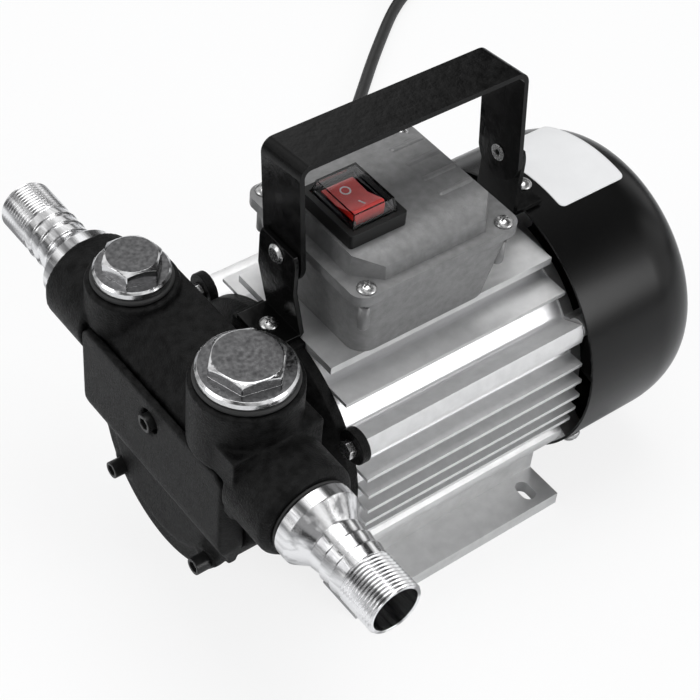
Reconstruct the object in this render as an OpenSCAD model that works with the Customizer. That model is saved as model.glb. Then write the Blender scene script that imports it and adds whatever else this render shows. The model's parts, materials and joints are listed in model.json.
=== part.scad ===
// Electric oil transfer pump: a finned motor on feet, a vane pump with two hose
// tails on its nose, a switch box on top and a folding carry handle.
// X runs along the shaft towards the fan, Z is up, and the origin lies on the
// floor at the middle of the four foot slots.

/* [Motor housing] */
// Height of the shaft above the floor
axis_h = 79.5; // [78:0.5:90]
// Length of the finned housing
housing_len = 127; // [110:1:160]
// Radius of the round wall under the fins
tube_r = 59.5; // [59:0.5:61]
// Radius of the bore that holds the stator
bore_r = 54; // [53:0.5:55]
// Radius of the circle that the fin tips reach
fin_tip_r = 68.3; // [66:0.1:70]
// Thickness of a fin
fin_t = 2; // [1.6:0.1:3]
// Distance from one side fin to the next
fin_pitch = 9.25; // [8:0.25:9.5]
// Half width of the flat top platform
platform_half = 34.3; // [32:0.1:36]
// Height of the platform above the shaft
platform_z = 62; // [61.5:0.5:66]
// Thickness of the platform's edge
platform_t = 4; // [3:0.5:6]
// Distance of a tie bolt from the middle, sideways
tie_y = 57.5; // [57:0.5:58]
// Distance of a tie bolt from the shaft, up or down
tie_z = 35.5; // [35:0.5:36]
// Radius of a tie bolt
tie_r = 2.5; // [2:0.5:3]

/* [Feet] */
// Half width over both feet
foot_half = 69.4; // [68:0.2:76]
// Outer face of the web that carries a foot
web_y = 48.5; // [47:0.5:50]
// Thickness of the web
web_t = 5; // [4:0.5:7]
// Thickness of a foot
foot_t = 7.4; // [6:0.2:9]
// Distance of a slot from the middle, along the shaft
slot_x = 51; // [40:1:52]
// Distance of a slot from the middle, sideways
slot_y = 59; // [58:0.5:60]
// Width of a slot
slot_w = 7.5; // [6:0.5:9]
// Length of a slot
slot_len = 12; // [10:0.5:14]

/* [Fan cover] */
// Outer radius of the fan cover
cover_r = 74.2; // [74:0.1:76]
// Depth of the fan cover along the shaft
cover_len = 73.5; // [66:0.5:80]
// How far the rounded end reaches along the shaft
cover_round_x = 28; // [20:1:30]
// How far the rounded end draws in
cover_round_r = 14.5; // [10:0.5:16]
// Wall of the fan cover
cover_wall = 1.2; // [0.8:0.1:2]
// Radius of the round air grille
grille_r = 46; // [36:1:52]
// Width of an air slot
grille_slot = 3.6; // [2.5:0.1:4]
// Distance from one air slot to the next
grille_pitch = 7.6; // [7:0.2:9]

/* [Pump head] */
// Distance of the port axis from the middle, along the shaft
port_x = 110.8; // [110.6:0.1:111.2]
// Height of the port axis above the shaft
port_z = 46.5; // [46:0.5:47]
// Radius of a port tube
port_r = 23.6; // [22.5:0.1:24]
// Distance of a port's end face from the middle
port_face = 84; // [83:0.5:90]
// Radius of the round front cover
face_r = 49.8; // [49:0.1:52]
// Sideways shift of that cover towards the rear port
face_shift = 2.5; // [0:0.5:4]
// Radius of the pump casting behind the cover
casting_r = 47.6; // [47:0.1:50]
// Half width of the raised upper part of the cover
brow_half = 54; // [53:0.5:55]
// Radius of the rotor chamber
chamber_r = 30; // [29.5:0.1:30.5]
// Length of the rotor chamber
chamber_len = 26.5; // [24:0.5:27]
// Distance of the front boss from the middle, sideways
filter_y = 37.4; // [37:0.1:38]
// Radius of the front boss, which holds the strainer
filter_boss_r = 24.5; // [24:0.1:25.5]
// Height of the front boss above the shaft
filter_top = 87.5; // [86:0.5:92]
// Distance of the rear boss from the middle, sideways
valve_y = 48; // [47:0.5:49]
// Radius of the rear boss, which holds the bypass valve
valve_boss_r = 21; // [20:0.5:22]
// Height of the rear boss above the shaft
valve_top = 74; // [73:0.5:78]

/* [Vane set] */
// Radius of the pump rotor
pump_rotor_r = 22.8; // [22:0.1:22.8]
// Bore radius of the liner that the vanes sweep
liner_bore_r = 25.5; // [25.5:0.1:26.5]
// Number of vanes
vane_count = 5; // [3:1:7]
// Thickness of a vane
vane_t = 3; // [2:0.5:4]
// Depth of a vane's slot
vane_depth = 9; // [8:0.5:11]

/* [Plugs] */
// Flange radius of the front plug
filter_flange_r = 21.4; // [20.5:0.1:22.5]
// Width over the flats of the front plug's hexagon
filter_hex = 30; // [26:0.5:32]
// Height of the front plug's hexagon
filter_hex_h = 5.7; // [4:0.1:9]
// Flange radius of the rear plug
valve_flange_r = 17.2; // [16.8:0.1:18]
// Width over the flats of the rear plug's hexagon
valve_hex = 24; // [20:0.5:26]
// Height of the rear plug's hexagon
valve_hex_h = 7.3; // [4:0.1:9]
// Thickness of a plug's flange
plug_flange_t = 4; // [3:0.5:6]
// Lift of the bypass valve
valve_lift = 4; // [2:0.5:5]

/* [Hose tails] */
// Radius of a hose tail's flange
tail_flange_r = 19.3; // [18.5:0.1:21]
// Thickness of that flange
tail_flange_t = 8.5; // [6:0.5:10]
// Radius of the smooth hose tail
tail_r = 12.6; // [12.2:0.1:13]
// Outer radius of the hose tail's thread
thread_r = 13.2; // [12.9:0.1:13.6]
// Bore radius of a hose tail
tail_bore_r = 11; // [9:0.5:11.2]
// Distance of a hose tail's tip from the middle
tail_tip = 141; // [136:1:155]
// Length of the threaded tip
thread_len = 20; // [14:1:24]
// Pitch of the thread
thread_pitch = 1.8; // [1.4:0.1:2.6]
// Number of raised rings on the tail
barb_count = 3; // [1:1:4]

/* [Switch box] */
// Middle of the switch box along the shaft
box_x = -12.7; // [-14:0.1:-12]
// Length of the lid
lid_len = 90; // [88:0.5:92]
// Width of the lid
lid_w = 83; // [82:0.5:86]
// Thickness of the lid's rim
lid_t = 5.1; // [4:0.1:6]
// Height of the box under the lid
box_h = 35.8; // [34:0.1:42]
// Wall of the box
box_wall = 3; // [2:0.5:4]
// Half distance of the lid screws along the shaft
lid_screw_x = 37.5; // [37:0.1:38]
// Half distance of the lid screws sideways
lid_screw_y = 36.3; // [35.5:0.1:37]
// Height of the raised middle of the lid
hat_h = 11.4; // [10.6:0.1:13]

/* [Switch] */
// Length of the switch bezel
bezel_len = 36.3; // [35:0.1:38]
// Width of the switch bezel
bezel_w = 30; // [29:0.1:32]
// Height of the switch bezel
bezel_h = 7; // [5:0.5:8]
// Height of the clear cap over the rocker
cap_h = 6.5; // [6:0.5:9]
// Swing of the rocker
rocker_swing = 18; // [10:1:20]

/* [Handle] */
// Outer length of the handle over its two legs
handle_len = 122.4; // [120:0.2:128]
// Middle of the handle along the shaft
handle_x = -5.9; // [-6.5:0.1:-5]
// Height of the handle above its pivots
handle_h = 48.7; // [47:0.1:60]
// Width of the handle's strip
strip_w = 27; // [22:0.5:28]
// Thickness of the handle's strip
strip_t = 2.5; // [2:0.1:3]
// Height of the pivots above the shaft
pivot_z = 105.4; // [104.4:0.1:106.4]
// Lean of the handle towards the back
handle_lean = 6.5; // [0:0.5:12]

/* [Lead] */
// Diameter of the mains lead
cord_d = 7.6; // [7:0.2:8]
// Distance of the cable gland from the box's middle, along the shaft
gland_dx = 21.7; // [18:0.1:22]
// Height of the cable gland above the shaft
gland_z = 74; // [73:0.5:78]

/* [Hidden] */

$fn = 64;
// Overrun of a cut past the face that it opens
cut = 1;
// Sideways gap of a part that sits in another
fit = 0.05;
// Gap between parts that move past each other
run = 0.3;

// Ends of the housing, and the faces that stack up towards the pump
end_x = housing_len / 2;
shield_len = 20.5;
front_x = -end_x - shield_len;
back_wall = 9;
chamber_back = front_x - back_wall;
chamber_front = chamber_back - chamber_len;
cover_gap = 0.6;
cover_back = chamber_front - cover_gap;
disc_t = 4.9;
disc_front = cover_back - disc_t;
px = -port_x;
pz = axis_h + port_z;
brow_front = px - port_r + 0.4;
brow_t = 4;
brow_steps = 8;
casting_brow = brow_front + brow_t + cover_gap;
brow_top = pz + 6;
brow_low = 6.5;
brow_root = axis_h - 14;
brow_bottom = axis_h + 10;
casting_bottom = axis_h + 12.5;
step_z = axis_h + chamber_r + 7.5;
bridge_top = pz + 23;
bridge_back = px + 22.8;
bridge_front = px - 6.2;

// Bearings
bearing_bore = 7.5;
bearing_r = 17.5;
bearing_w = 11;
ball_r = 3;
ball_ring = 12.5;
ball_count = 8;
groove_r = 3.1;
ring_wall = 3;
front_bearing = front_x + 3;
rear_bearing = end_x + 2.5;
shield_flange = 6;
shield_lug_t = 4.5;
bolt_head_h = 3.5;
ear_w = 14;
ear_len = 12;
ear_depth = 5;
rear_hub = rear_bearing + bearing_w + 2;

// Shaft and what turns with it
pump_shaft_r = 6;
shaft_seat_r = 9;
core_half = 35;
rotor_r = 29.5;
stator_r = 30;
shaft_end = end_x + cover_len - 24;
fan_x = rear_hub + 5;
fan_w = 20;
fan_r = 63;
fan_hub_r = 13;
fan_blades = 7;
liner_shift = liner_bore_r - pump_rotor_r - 0.2;

// Cover and its screws
cover_x = end_x + 1.2;
lug_r = 8.5;
rear_lug_r = 5;
lug_root_share = 0.9;
tie_grip = 6;
cover_screw_x = cover_x + 8;
cover_screw_turns = [-33, 213];
m4_r = 2;
head_r = 4.3;
head_h = 2.6;

// Pump screws
pump_screw_r = 43;
// The top screw sits nearer the shaft than the two at the sides, its head sunk in a well
top_screw_r = 39.5;
pump_screw_turns = [90, -38.5, 218.5];
m6_r = 2.9;
cap_head_r = 4.2;
cap_head_h = 7.8;
cap_hex = 5;
screw_lug_r = 7;
screw_well_r = 6;
screw_boss_r = 8;
screw_well_floor = 3;
screw_sink = 5.3;

// Wells and bores of the casting
gallery_r = 9;
filter_well_r = 18;
filter_well_bottom = step_z + 3;
valve_well_r = 14;
seat_drop = 1;
seat_z = pz - gallery_r - seat_drop;
seat_hole_r = 6.5;
cross_r = 2.5;
cross_z = axis_h + chamber_r + 1 + cross_r;
feed_r = 6;
feed_y = 22;
feed_x = chamber_back - 7;
plug_seal_t = 2.8;
strainer_r = 13;
filter_shank = 9;
valve_shank = 8;
hex_turn = 48;
hex_corner_share = 0.985;
port_thread_r = 16;
port_thread_len = 14;

// Switch box heights
plat = axis_h + platform_z;
box_top = plat + box_h;
// How much smaller than the lid the box is, at its foot and at its rim
base_inset = 12.6;
box_floor = 2.5;
top_inset = 2.5;
gasket_t = 1.2;
lid_overhang = 2;
// Shanks of the screws in the lid and in the box's floor, and the depth of the lid's holes
lid_screw_shank = 14;
box_screw_shank = 9;
lid_screw_depth = 16;
box_screw_depth = 3;
screw_post_r = 6;
wire_hole_r = 6;
// The capacitor lies along the shaft in the box, a little above its floor
capacitor_r = 13;
capacitor_len = 41.5;
capacitor_rim = 1.5;
capacitor_gap = 0.2;
capacitor_back = 20;
capacitor_side = 15.5;
// Where the ribs under the port tubes start and end
port_rib_w = 7;
port_rib_top = 12;
port_rib_low = 20;
port_rib_foot = 14;
// How far the plug's pins are set into its body, and how round their ends are
pin_root = 8;
pin_tip = 1.2;
box_len = lid_len - 2 * lid_overhang;
lid_z = box_top + gasket_t;
lid_top = lid_z + lid_t;
hat_top = lid_top + hat_h;
hat_wall = 6.4;
hat_half = 36.5;
hat_x0 = box_x - 38.8;
hat_x1 = box_x + 38.2;
hat_cut = 11;
roof_back = 3;
lid_rib_r = 2.4;
lid_rib_len = 17.5;
lid_rib_pitch = 11.2;
lid_rib_y = -16;
bezel_x = box_x - 22.3;
bezel_y = -5.3;
socket_w = 21;
socket_len = 28;
socket_depth = 22;
rocker_w = 16;
rocker_len = 23;
rocker_z = hat_top + bezel_h - 3;
cap_taper_share = 0.88;

// Handle
pivot_h = axis_h + pivot_z;
leg_x0 = handle_x - handle_len / 2;
leg_x1 = handle_x + handle_len / 2;
bracket_t = 2.5;
bracket_w = 25.5;
bracket_top = 6;
rivet_r = 3;
rivet_head_r = 4.6;
bend_r = 6;
foot_len = 15.5;

// Lead: it leaves the box's rear wall square to it, drops behind the motor and
// runs off over the floor. The route's points are round numbers on a smooth curve.
cord_r = cord_d / 2;
wall_lean = atan(((lid_w - top_inset) - (lid_w - base_inset)) / 2 / box_h);
gland_x = box_x + gland_dx;
gland_h = axis_h + gland_z;
gland_y = (lid_w - base_inset) / 2 + (gland_h - plat) * tan(wall_lean);
gland_r = 8;
gland_hex = 20;
gland_hex_t = 4;
gland_seat = box_wall + box_floor * tan(wall_lean) + 2 * fit;
relief_len = 24;
floor_z = 4.2;
ROUTE = [
  [9, 74, 147.4], [9, 82, 143], [9, 89, 136], [10, 93, 127], [10, 94, 114], [11, 94, 98],
  [12, 94, 82], [14, 95, 66], [17, 97, 51], [22, 100, 37], [28, 105, 25], [37, 112, 15],
  [49, 122, 8], [62, 134, 5], [78, 149, 4.2], [96, 166, 4.2], [115, 183, 4.2], [136, 202, 4.2],
  [158, 223, 4.2], [181, 243, 4.2], [203, 262, 4.2], [225, 280, 4.2], [243, 294, 4.2],
  [258, 304, 4.2], [271, 311, 4.2]
];
// Coil of the spare length: it spirals in, climbs a layer where it turns back,
// and spirals out again, to end straight in the plug beside it
coil_x = 287;
coil_y = 366;
coil_in = 35;
coil_step = cord_d + 0.6;
coil_turns = 2.25;
coil_rings = 24;
coil_start = -90;
coil_sides = 6;
cord_sides = 8;
coil_out = coil_in + coil_step * coil_turns;
tail_len = 46;

// Plug
plug_len = 34;
plug_half = 18;
plug_neck = 16;
pin_r = 2.4;
pin_len = 19;
pin_gap = 9.5;

// Helpers

// Puts a shape's own Z along the shaft, starting at x
module on_shaft(x) translate([x, 0, axis_h]) rotate([0, 90, 0]) children();

// Turns an outline of [distance along the shaft, radius] about the shaft
module lathe(points, fn = 96)
  on_shaft(0) rotate_extrude($fn = fn) polygon([for (p = points) [p[1], p[0]]]);

// A rod along the shaft from x0 to x1, at y and at z above the shaft
module shaft_rod(x0, x1, r, y = 0, z = 0)
  translate([x0, y, axis_h + z]) rotate([0, 90, 0]) cylinder(h = x1 - x0, r = r);

// A tube along the shaft from x0 to x1
module shaft_ring(x0, x1, r_out, r_in) difference() {
  shaft_rod(x0, x1, r_out);
  shaft_rod(x0 - cut, x1 + cut, r_in);
}

// A rod along Y from y0 to y1
module y_rod(x, z, y0, y1, r)
  translate([x, y0, z]) rotate([-90, 0, 0]) cylinder(h = y1 - y0, r = r);

// A rod straight up from z0 to z1
module z_rod(x, y, z0, z1, r) translate([x, y, z0]) cylinder(h = z1 - z0, r = r);

// A block between two corners
module block(a, b) translate(a) cube(b - a);

// Extrudes an outline of [sideways, up from the shaft] along the shaft
module section(x0, x1) translate([x0, 0, axis_h]) rotate([90, 0, 90])
  linear_extrude(height = x1 - x0) children();

// Extrudes an outline of [along the shaft, height] sideways from y0 to y1
module slab_y(y0, y1) translate([0, y1, 0]) rotate([90, 0, 0])
  linear_extrude(height = y1 - y0) children();

module both_sides() {
  children();
  mirror([0, 1, 0]) children();
}

module tie_places() for (s = [-1, 1], t = [-1, 1]) translate([0, s * tie_y, t * tie_z]) children();

// A rectangle with round corners, about its middle
module round_rect(w, l, r) {
  square([w - 2 * r, l], center = true);
  square([w, l - 2 * r], center = true);
  for (s = [-1, 1], t = [-1, 1])
    translate([s * (w / 2 - r), t * (l / 2 - r)]) circle(r);
}

// A pan head screw that points down, its head's underside at z
module pan_screw(x, y, z, r, len) {
  z_rod(x, y, z - len, z + fit, r);
  translate([x, y, z]) difference() {
    rotate_extrude() intersection() {
      translate([0, head_h - head_r * 1.35]) circle(head_r * 1.35);
      square([head_r, head_h]);
    }
    for (a = [0, 90]) rotate([0, 0, a + 20])
      translate([0, 0, head_h]) cube([head_r, head_r / 5, head_h], center = true);
  }
}

// Motor

// One fin: a flat plate whose upper face lies z above the shaft
module fin(z) {
  tip = sqrt(pow(fin_tip_r, 2) - pow(z, 2));
  translate([0, z - fin_t]) square([tip, fin_t]);
}

// Rib that carries a tie bolt, its groove open towards the wall
module tie_rib() polygon([
  [tie_y - 15, tie_z - 5], [tie_y - 9, tie_z - 1.4], [tie_y + 2.8, tie_z + 4.4],
  [tie_y + 5.2, tie_z - 1], [tie_y + 5, tie_z - 5], [tie_y + 2.5, tie_z - 7], [tie_y - 11, tie_z - 8]
]);

module half_outline() {
  translate([0, platform_z - platform_t]) square([platform_half, platform_t]);
  translate([0, platform_z - 12]) translate([0, -fin_t])
    square([sqrt(pow(fin_tip_r, 2) - pow(platform_z - 12, 2)), fin_t]);
  for (i = [0:4]) fin(19 - i * fin_pitch);
  tie_rib();
  mirror([0, 1]) tie_rib();
  translate([web_y - web_t, -axis_h]) square([web_t, axis_h - tie_z + 6]);
  translate([web_y - web_t, -axis_h]) square([foot_half - web_y + web_t, foot_t]);
}

module foot_slot(x, y) translate([x, y, -cut]) linear_extrude(height = foot_t + 2 * cut) {
  square([slot_w, slot_len - slot_w], center = true);
  for (s = [-1, 1]) translate([0, s * (slot_len - slot_w) / 2]) circle(d = slot_w);
}

module motor_housing() color("silver") difference() {
  section(-end_x, end_x) {
    circle(r = tube_r, $fn = 120);
    half_outline();
    mirror([1, 0]) half_outline();
  }
  shaft_rod(-end_x - cut, end_x + cut, bore_r, $fn = 120);
  tie_places() shaft_rod(-end_x - cut, end_x + cut, tie_r + fit);
  for (s = [-1, 1], t = [-1, 1]) foot_slot(s * slot_x, t * slot_y);
  box_screw_places() z_rod(0, 0, plat - platform_t * 3, plat + cut, m4_r + fit);
  z_rod(box_x, 0, plat - platform_t * 4, plat + cut, 7);
}

module shield_lugs(x0, x1, reach) tie_places() shaft_rod(x0, x1, reach);

module front_shield() color("dimgray") difference() {
  union() {
    lathe([[front_x, 0], [front_x, casting_r + 1], [front_x + shield_flange, casting_r + 2], [-end_x - 7, 59],
           [-end_x - 5, tube_r + 1.3], [-end_x, tube_r + 1.3], [-end_x, bore_r - fit],
           [-end_x + 4, bore_r - fit], [-end_x + 4, 0]]);
    shield_lugs(-end_x - shield_lug_t, -end_x, lug_r);
    block([-end_x - 16.5, -16, axis_h + 40], [-end_x, 16, plat]);
  }
  lathe([[front_bearing + bearing_w + 2.5, 0], [front_bearing + bearing_w + 2.5, 42],
         [-end_x - 5, 49], [-end_x + 5, 49], [-end_x + 5, 0]]);
  shaft_rod(front_bearing, -end_x, bearing_r + fit);
  shaft_rod(front_x - cut, -end_x, pump_shaft_r + 4);
  tie_places() shaft_rod(-end_x - 9, -end_x + cut, tie_r + fit);
  pump_screw_places() shaft_rod(front_x - cut, front_x + 12, m6_r + fit);
  z_rod(-end_x - 8.3, 0, plat - 12, plat + cut, m4_r + fit);
}

module rear_shield() color("lightgray") difference() {
  union() {
    lathe([[end_x - 4, 0], [end_x - 4, bore_r - fit], [end_x, bore_r - fit], [end_x, tube_r + 1],
           [end_x + shield_flange, tube_r + 1], [end_x + shield_flange + 3, 50],
           [rear_hub - 5, bearing_r + 8], [rear_hub, bearing_r + 4], [rear_hub, 0]]);
    shield_lugs(end_x + run, end_x + run + ear_len, rear_lug_r);
    for (s = [-1, 1], t = [-1, 1])
      shaft_rod(end_x + run, end_x + run + ear_len, rear_lug_r, s * tie_y * lug_root_share, t * tie_z * lug_root_share);
    for (a = concat(cover_screw_turns, [90])) shield_ear(a);
  }
  lathe([[end_x - 5, 0], [end_x - 5, 49], [end_x + shield_flange - 3, 47],
         [rear_bearing, bearing_r + 6], [rear_bearing, 0]]);
  shaft_rod(end_x, rear_bearing + bearing_w, bearing_r + fit);
  shaft_rod(end_x, rear_hub + cut, bearing_bore + 3);
  tie_places() shaft_rod(end_x - cut, end_x + tie_grip, tie_r + fit);
  for (a = concat(cover_screw_turns, [90]))
    at_turn(a) translate([0, 0, tube_r]) cylinder(h = cover_r, r = m4_r + fit);
}

// Points a shape's own Z out from the shaft at the place of a cover screw
module at_turn(a) translate([cover_screw_x, 0, axis_h]) rotate([90 - a, 0, 0])
  mirror([0, 0, 0]) children();

// Ear of the rear shield that reaches out to the fan cover
module shield_ear(a) at_turn(a) intersection() {
  translate([end_x + cut - cover_screw_x, -ear_w / 2, tube_r - ear_depth]) cube([ear_len, ear_w, cover_r]);
  translate([-cover_r, 0, 0]) rotate([0, 90, 0]) cylinder(h = 2 * cover_r, r = cover_r - cover_wall - 2 * fit);
}

// Outline of the fan cover's outer face, drawn in by t
function cover_curve(t) = [for (i = [0:12]) let (a = i * 7.5)
  [cover_x + cover_len - cover_round_x + (cover_round_x - t) * sin(a),
   cover_r - cover_round_r + (cover_round_r - t) * cos(a)]];

module fan_cover() color([0.1, 0.1, 0.1]) difference() {
  lathe(concat([[cover_x, cover_r - cover_wall], [cover_x, cover_r]], cover_curve(0),
    [[cover_x + cover_len, 0], [cover_x + cover_len - cover_wall, 0]],
    [for (i = [12:-1:0]) cover_curve(cover_wall)[i]]), 128);
  for (i = [-6:6]) air_slot(i * grille_pitch);
  for (a = concat(cover_screw_turns, [90]))
    at_turn(a) translate([0, 0, tube_r]) cylinder(h = cover_r, r = m4_r + fit);
}

// One level air slot, as long as the round grille is wide there
module air_slot(z) if (abs(z) < grille_r - grille_slot) {
  half = sqrt(pow(grille_r, 2) - pow(z, 2));
  translate([cover_x + cover_len - 3 * cover_wall, 0, axis_h + z]) rotate([90, 0, 90])
    linear_extrude(height = 6 * cover_wall) {
      square([2 * half - grille_slot, grille_slot], center = true);
      for (s = [-1, 1]) translate([s * (half - grille_slot / 2), 0]) circle(d = grille_slot, $fn = 24);
    }
}

module cover_screws() color("silver")
  for (a = cover_screw_turns)
    at_turn(a) pan_screw(0, 0, cover_r + fit, m4_r, 9);

module tie_bolts() color("gainsboro") tie_places() {
  shaft_rod(-end_x - shield_lug_t - fit, end_x + tie_grip - fit, tie_r);
  shaft_rod(-end_x - shield_lug_t - fit - bolt_head_h, -end_x - shield_lug_t - fit, tie_r * 1.8, $fn = 6);
}

module stator_core() color("darkgray") difference() {
  shaft_ring(-core_half, core_half, bore_r - fit, stator_r);
  for (i = [0:23]) rotate_on_shaft(i * 15) translate([-core_half - cut, -2, stator_r + 2])
    cube([2 * (core_half + cut), 4, 14]);
}

// Turns a shape about the shaft, where its own Z points out from the shaft
module rotate_on_shaft(a) translate([0, 0, axis_h]) rotate([a, 0, 0]) children();

module windings() color("peru") {
  for (s = [0, 1]) mirror([s, 0, 0])
    lathe([[core_half + 0.5, stator_r + 3], [core_half + 0.5, stator_r + 15],
           [core_half + 4, stator_r + 17], [core_half + 14, stator_r + 16],
           [core_half + 18, stator_r + 11], [core_half + 17, stator_r + 4], [core_half + 12, stator_r + 2.5]]);
  for (i = [0:23]) rotate_on_shaft(i * 15) translate([-core_half - 2, -1.6, stator_r + 3])
    cube([2 * (core_half + 2), 3.2, 12.6]);
}

module rotor_core() color("gray") difference() {
  lathe([[-core_half - 7, shaft_seat_r], [-core_half - 7, 27], [-core_half, 28], [-core_half, rotor_r],
         [core_half, rotor_r], [core_half, 28], [core_half + 7, 27], [core_half + 7, shaft_seat_r]]);
  shaft_rod(-core_half - 8, core_half + 8, shaft_seat_r + fit);
}

module motor_shaft() color("lightsteelblue") lathe([
  [cover_back + cut, 0], [cover_back + cut, pump_shaft_r - 0.6], [cover_back + 2, pump_shaft_r],
  [front_bearing - 1, pump_shaft_r], [front_bearing - 1, bearing_bore], [-core_half - 16, bearing_bore],
  [-core_half - 16, shaft_seat_r], [core_half + 16, shaft_seat_r], [core_half + 16, bearing_bore],
  [fan_x, bearing_bore], [fan_x, bearing_bore - 1.5], [shaft_end - 1, bearing_bore - 1.5],
  [shaft_end, bearing_bore - 2.5], [shaft_end, 0]
]);

// One bearing ring between two radii, with its ball groove
module bearing_ring(x, r0, r1) difference() {
  lathe([[x, r0], [x, r1], [x + bearing_w, r1], [x + bearing_w, r0]]);
  on_shaft(x + bearing_w / 2) rotate_extrude($fn = 96)
    translate([ball_ring, 0]) circle(r = groove_r, $fn = 48);
}

module bearing_outer_rings() color("silver") for (x = [front_bearing, rear_bearing])
  bearing_ring(x, bearing_r - ring_wall, bearing_r);

module bearing_inner_rings() color("silver") for (x = [front_bearing, rear_bearing])
  bearing_ring(x, bearing_bore + fit, bearing_bore + ring_wall);

module bearing_balls() color("white") for (x = [front_bearing, rear_bearing]) {
  for (i = [0:ball_count - 1]) rotate_on_shaft(i * 360 / ball_count)
    translate([x + bearing_w / 2, 0, ball_ring]) sphere(r = ball_r, $fn = 32);
  shaft_ring(x + bearing_w / 2 - 3.6, x + bearing_w / 2 - 2.4, ball_ring + 1.2, ball_ring - 1.2);
}

module cooling_fan() color([0.2, 0.2, 0.2]) difference() {
  union() {
    shaft_rod(fan_x + 0.5, fan_x + fan_w, fan_hub_r);
    shaft_rod(fan_x + 0.5, fan_x + 3.5, fan_r * 0.72);
    for (i = [0:fan_blades - 1]) rotate_on_shaft(i * 360 / fan_blades)
      translate([fan_x + 0.5, -1.25, fan_hub_r - 2]) cube([fan_w - 1, 2.5, fan_r - fan_hub_r + 2]);
  }
  shaft_rod(fan_x - cut, fan_x + fan_w + cut, bearing_bore - 1.5 + fit);
}

module fan_clip() color("silver")
  shaft_ring(fan_x + fan_w + fit, fan_x + fan_w + 1.2, bearing_bore + 3, bearing_bore - 1.5 + fit);

// Pump

function screw_place(i) = (i == 0 ? top_screw_r : pump_screw_r)
  * [cos(pump_screw_turns[i]), sin(pump_screw_turns[i])];
function screw_seat(i) = i == 0 ? brow_front + screw_sink : disc_front;

module pump_screw_places(first = 0) for (i = [first:2])
  translate([0, screw_place(i)[0], screw_place(i)[1]]) children();

// Outline of the cover seen along the shaft, [sideways, up from the shaft]
function face_points() = let (t = brow_top - axis_h, b = brow_low) concat(
  [[-brow_half + 4, t], [-brow_half, t - 4], [-brow_half, b - 4], [-brow_half + 5, b - 22]],
  [for (i = [0:14]) let (a = 205 + i * (130 / 14)) [face_shift + face_r * cos(a), face_r * sin(a)]],
  [[brow_half - 5, b - 22], [brow_half, b - 4], [brow_half, t - 4], [brow_half - 4, t]]);

// The cover's front swells from the round disc to the raised brow
function brow_point(t) = [disc_front + (brow_front - disc_front) * (1 - cos(180 * t)) / 2,
  brow_root + (brow_bottom - brow_root) * t];

module pump_cover() color([0.13, 0.13, 0.13]) difference() {
  union() {
    intersection() {
      slab_y(-brow_half, brow_half) polygon([
        [cover_back, step_z - cover_gap], [cover_back, brow_root],
        each [for (i = [0:brow_steps]) brow_point(i / brow_steps)], [brow_front, brow_top],
        [brow_front + brow_t, brow_top], [brow_front + brow_t, step_z - cover_gap]
      ]);
      section(brow_front - cut, cover_back + cut) polygon(face_points());
    }
    intersection() {
      translate([0, face_shift, 0])
        lathe([[cover_back, 0], [cover_back, face_r], [disc_front + 1.5, face_r], [disc_front, face_r - 1.5],
               [disc_front, 40], [disc_front - 2.5, 36], [disc_front - 2.5, 0]]);
      block([disc_front - 3, -2 * face_r, 0], [cover_back, 2 * face_r, casting_bottom]);
    }
    intersection() {
      pump_screw_places(1) shaft_rod(disc_front - 2 * cover_gap, cover_back, screw_lug_r);
      translate([0, face_shift, 0]) shaft_rod(disc_front - cut - cover_gap, cover_back + cut, face_r + fit, $fn = 96);
    }
    shaft_rod(brow_front + brow_t - cut, screw_seat(0) + screw_well_floor, screw_boss_r, 0, top_screw_r);
  }
  pump_screw_places() shaft_rod(brow_front - cut - cap_head_h, cover_back + cut, m6_r + fit);
  shaft_rod(brow_front - cut, screw_seat(0), screw_well_r, 0, top_screw_r);
  pump_screw_places(1) shaft_rod(disc_front - shield_flange, disc_front, cap_head_r + 1);
  shaft_rod(cover_back - 3, cover_back + cut, pump_shaft_r + 1);
}

module cover_seal() color([0.05, 0.05, 0.05])
  shaft_ring(cover_back + fit, chamber_front - fit, chamber_r + 5, chamber_r + 2);

module pump_screws() color([0.08, 0.08, 0.08]) for (i = [0:2]) {
  y = screw_place(i)[0];
  z = screw_place(i)[1];
  seat = screw_seat(i);
  difference() {
    union() {
      shaft_rod(seat - fit, front_x + 11, m6_r, y, z);
      shaft_rod(seat - cap_head_h, seat - fit, cap_head_r, y, z, $fn = 32);
    }
    shaft_rod(seat - cap_head_h - cut, seat - cap_head_h / 2, cap_hex / 2 / cos(30), y, z, $fn = 6);
  }
}

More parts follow.
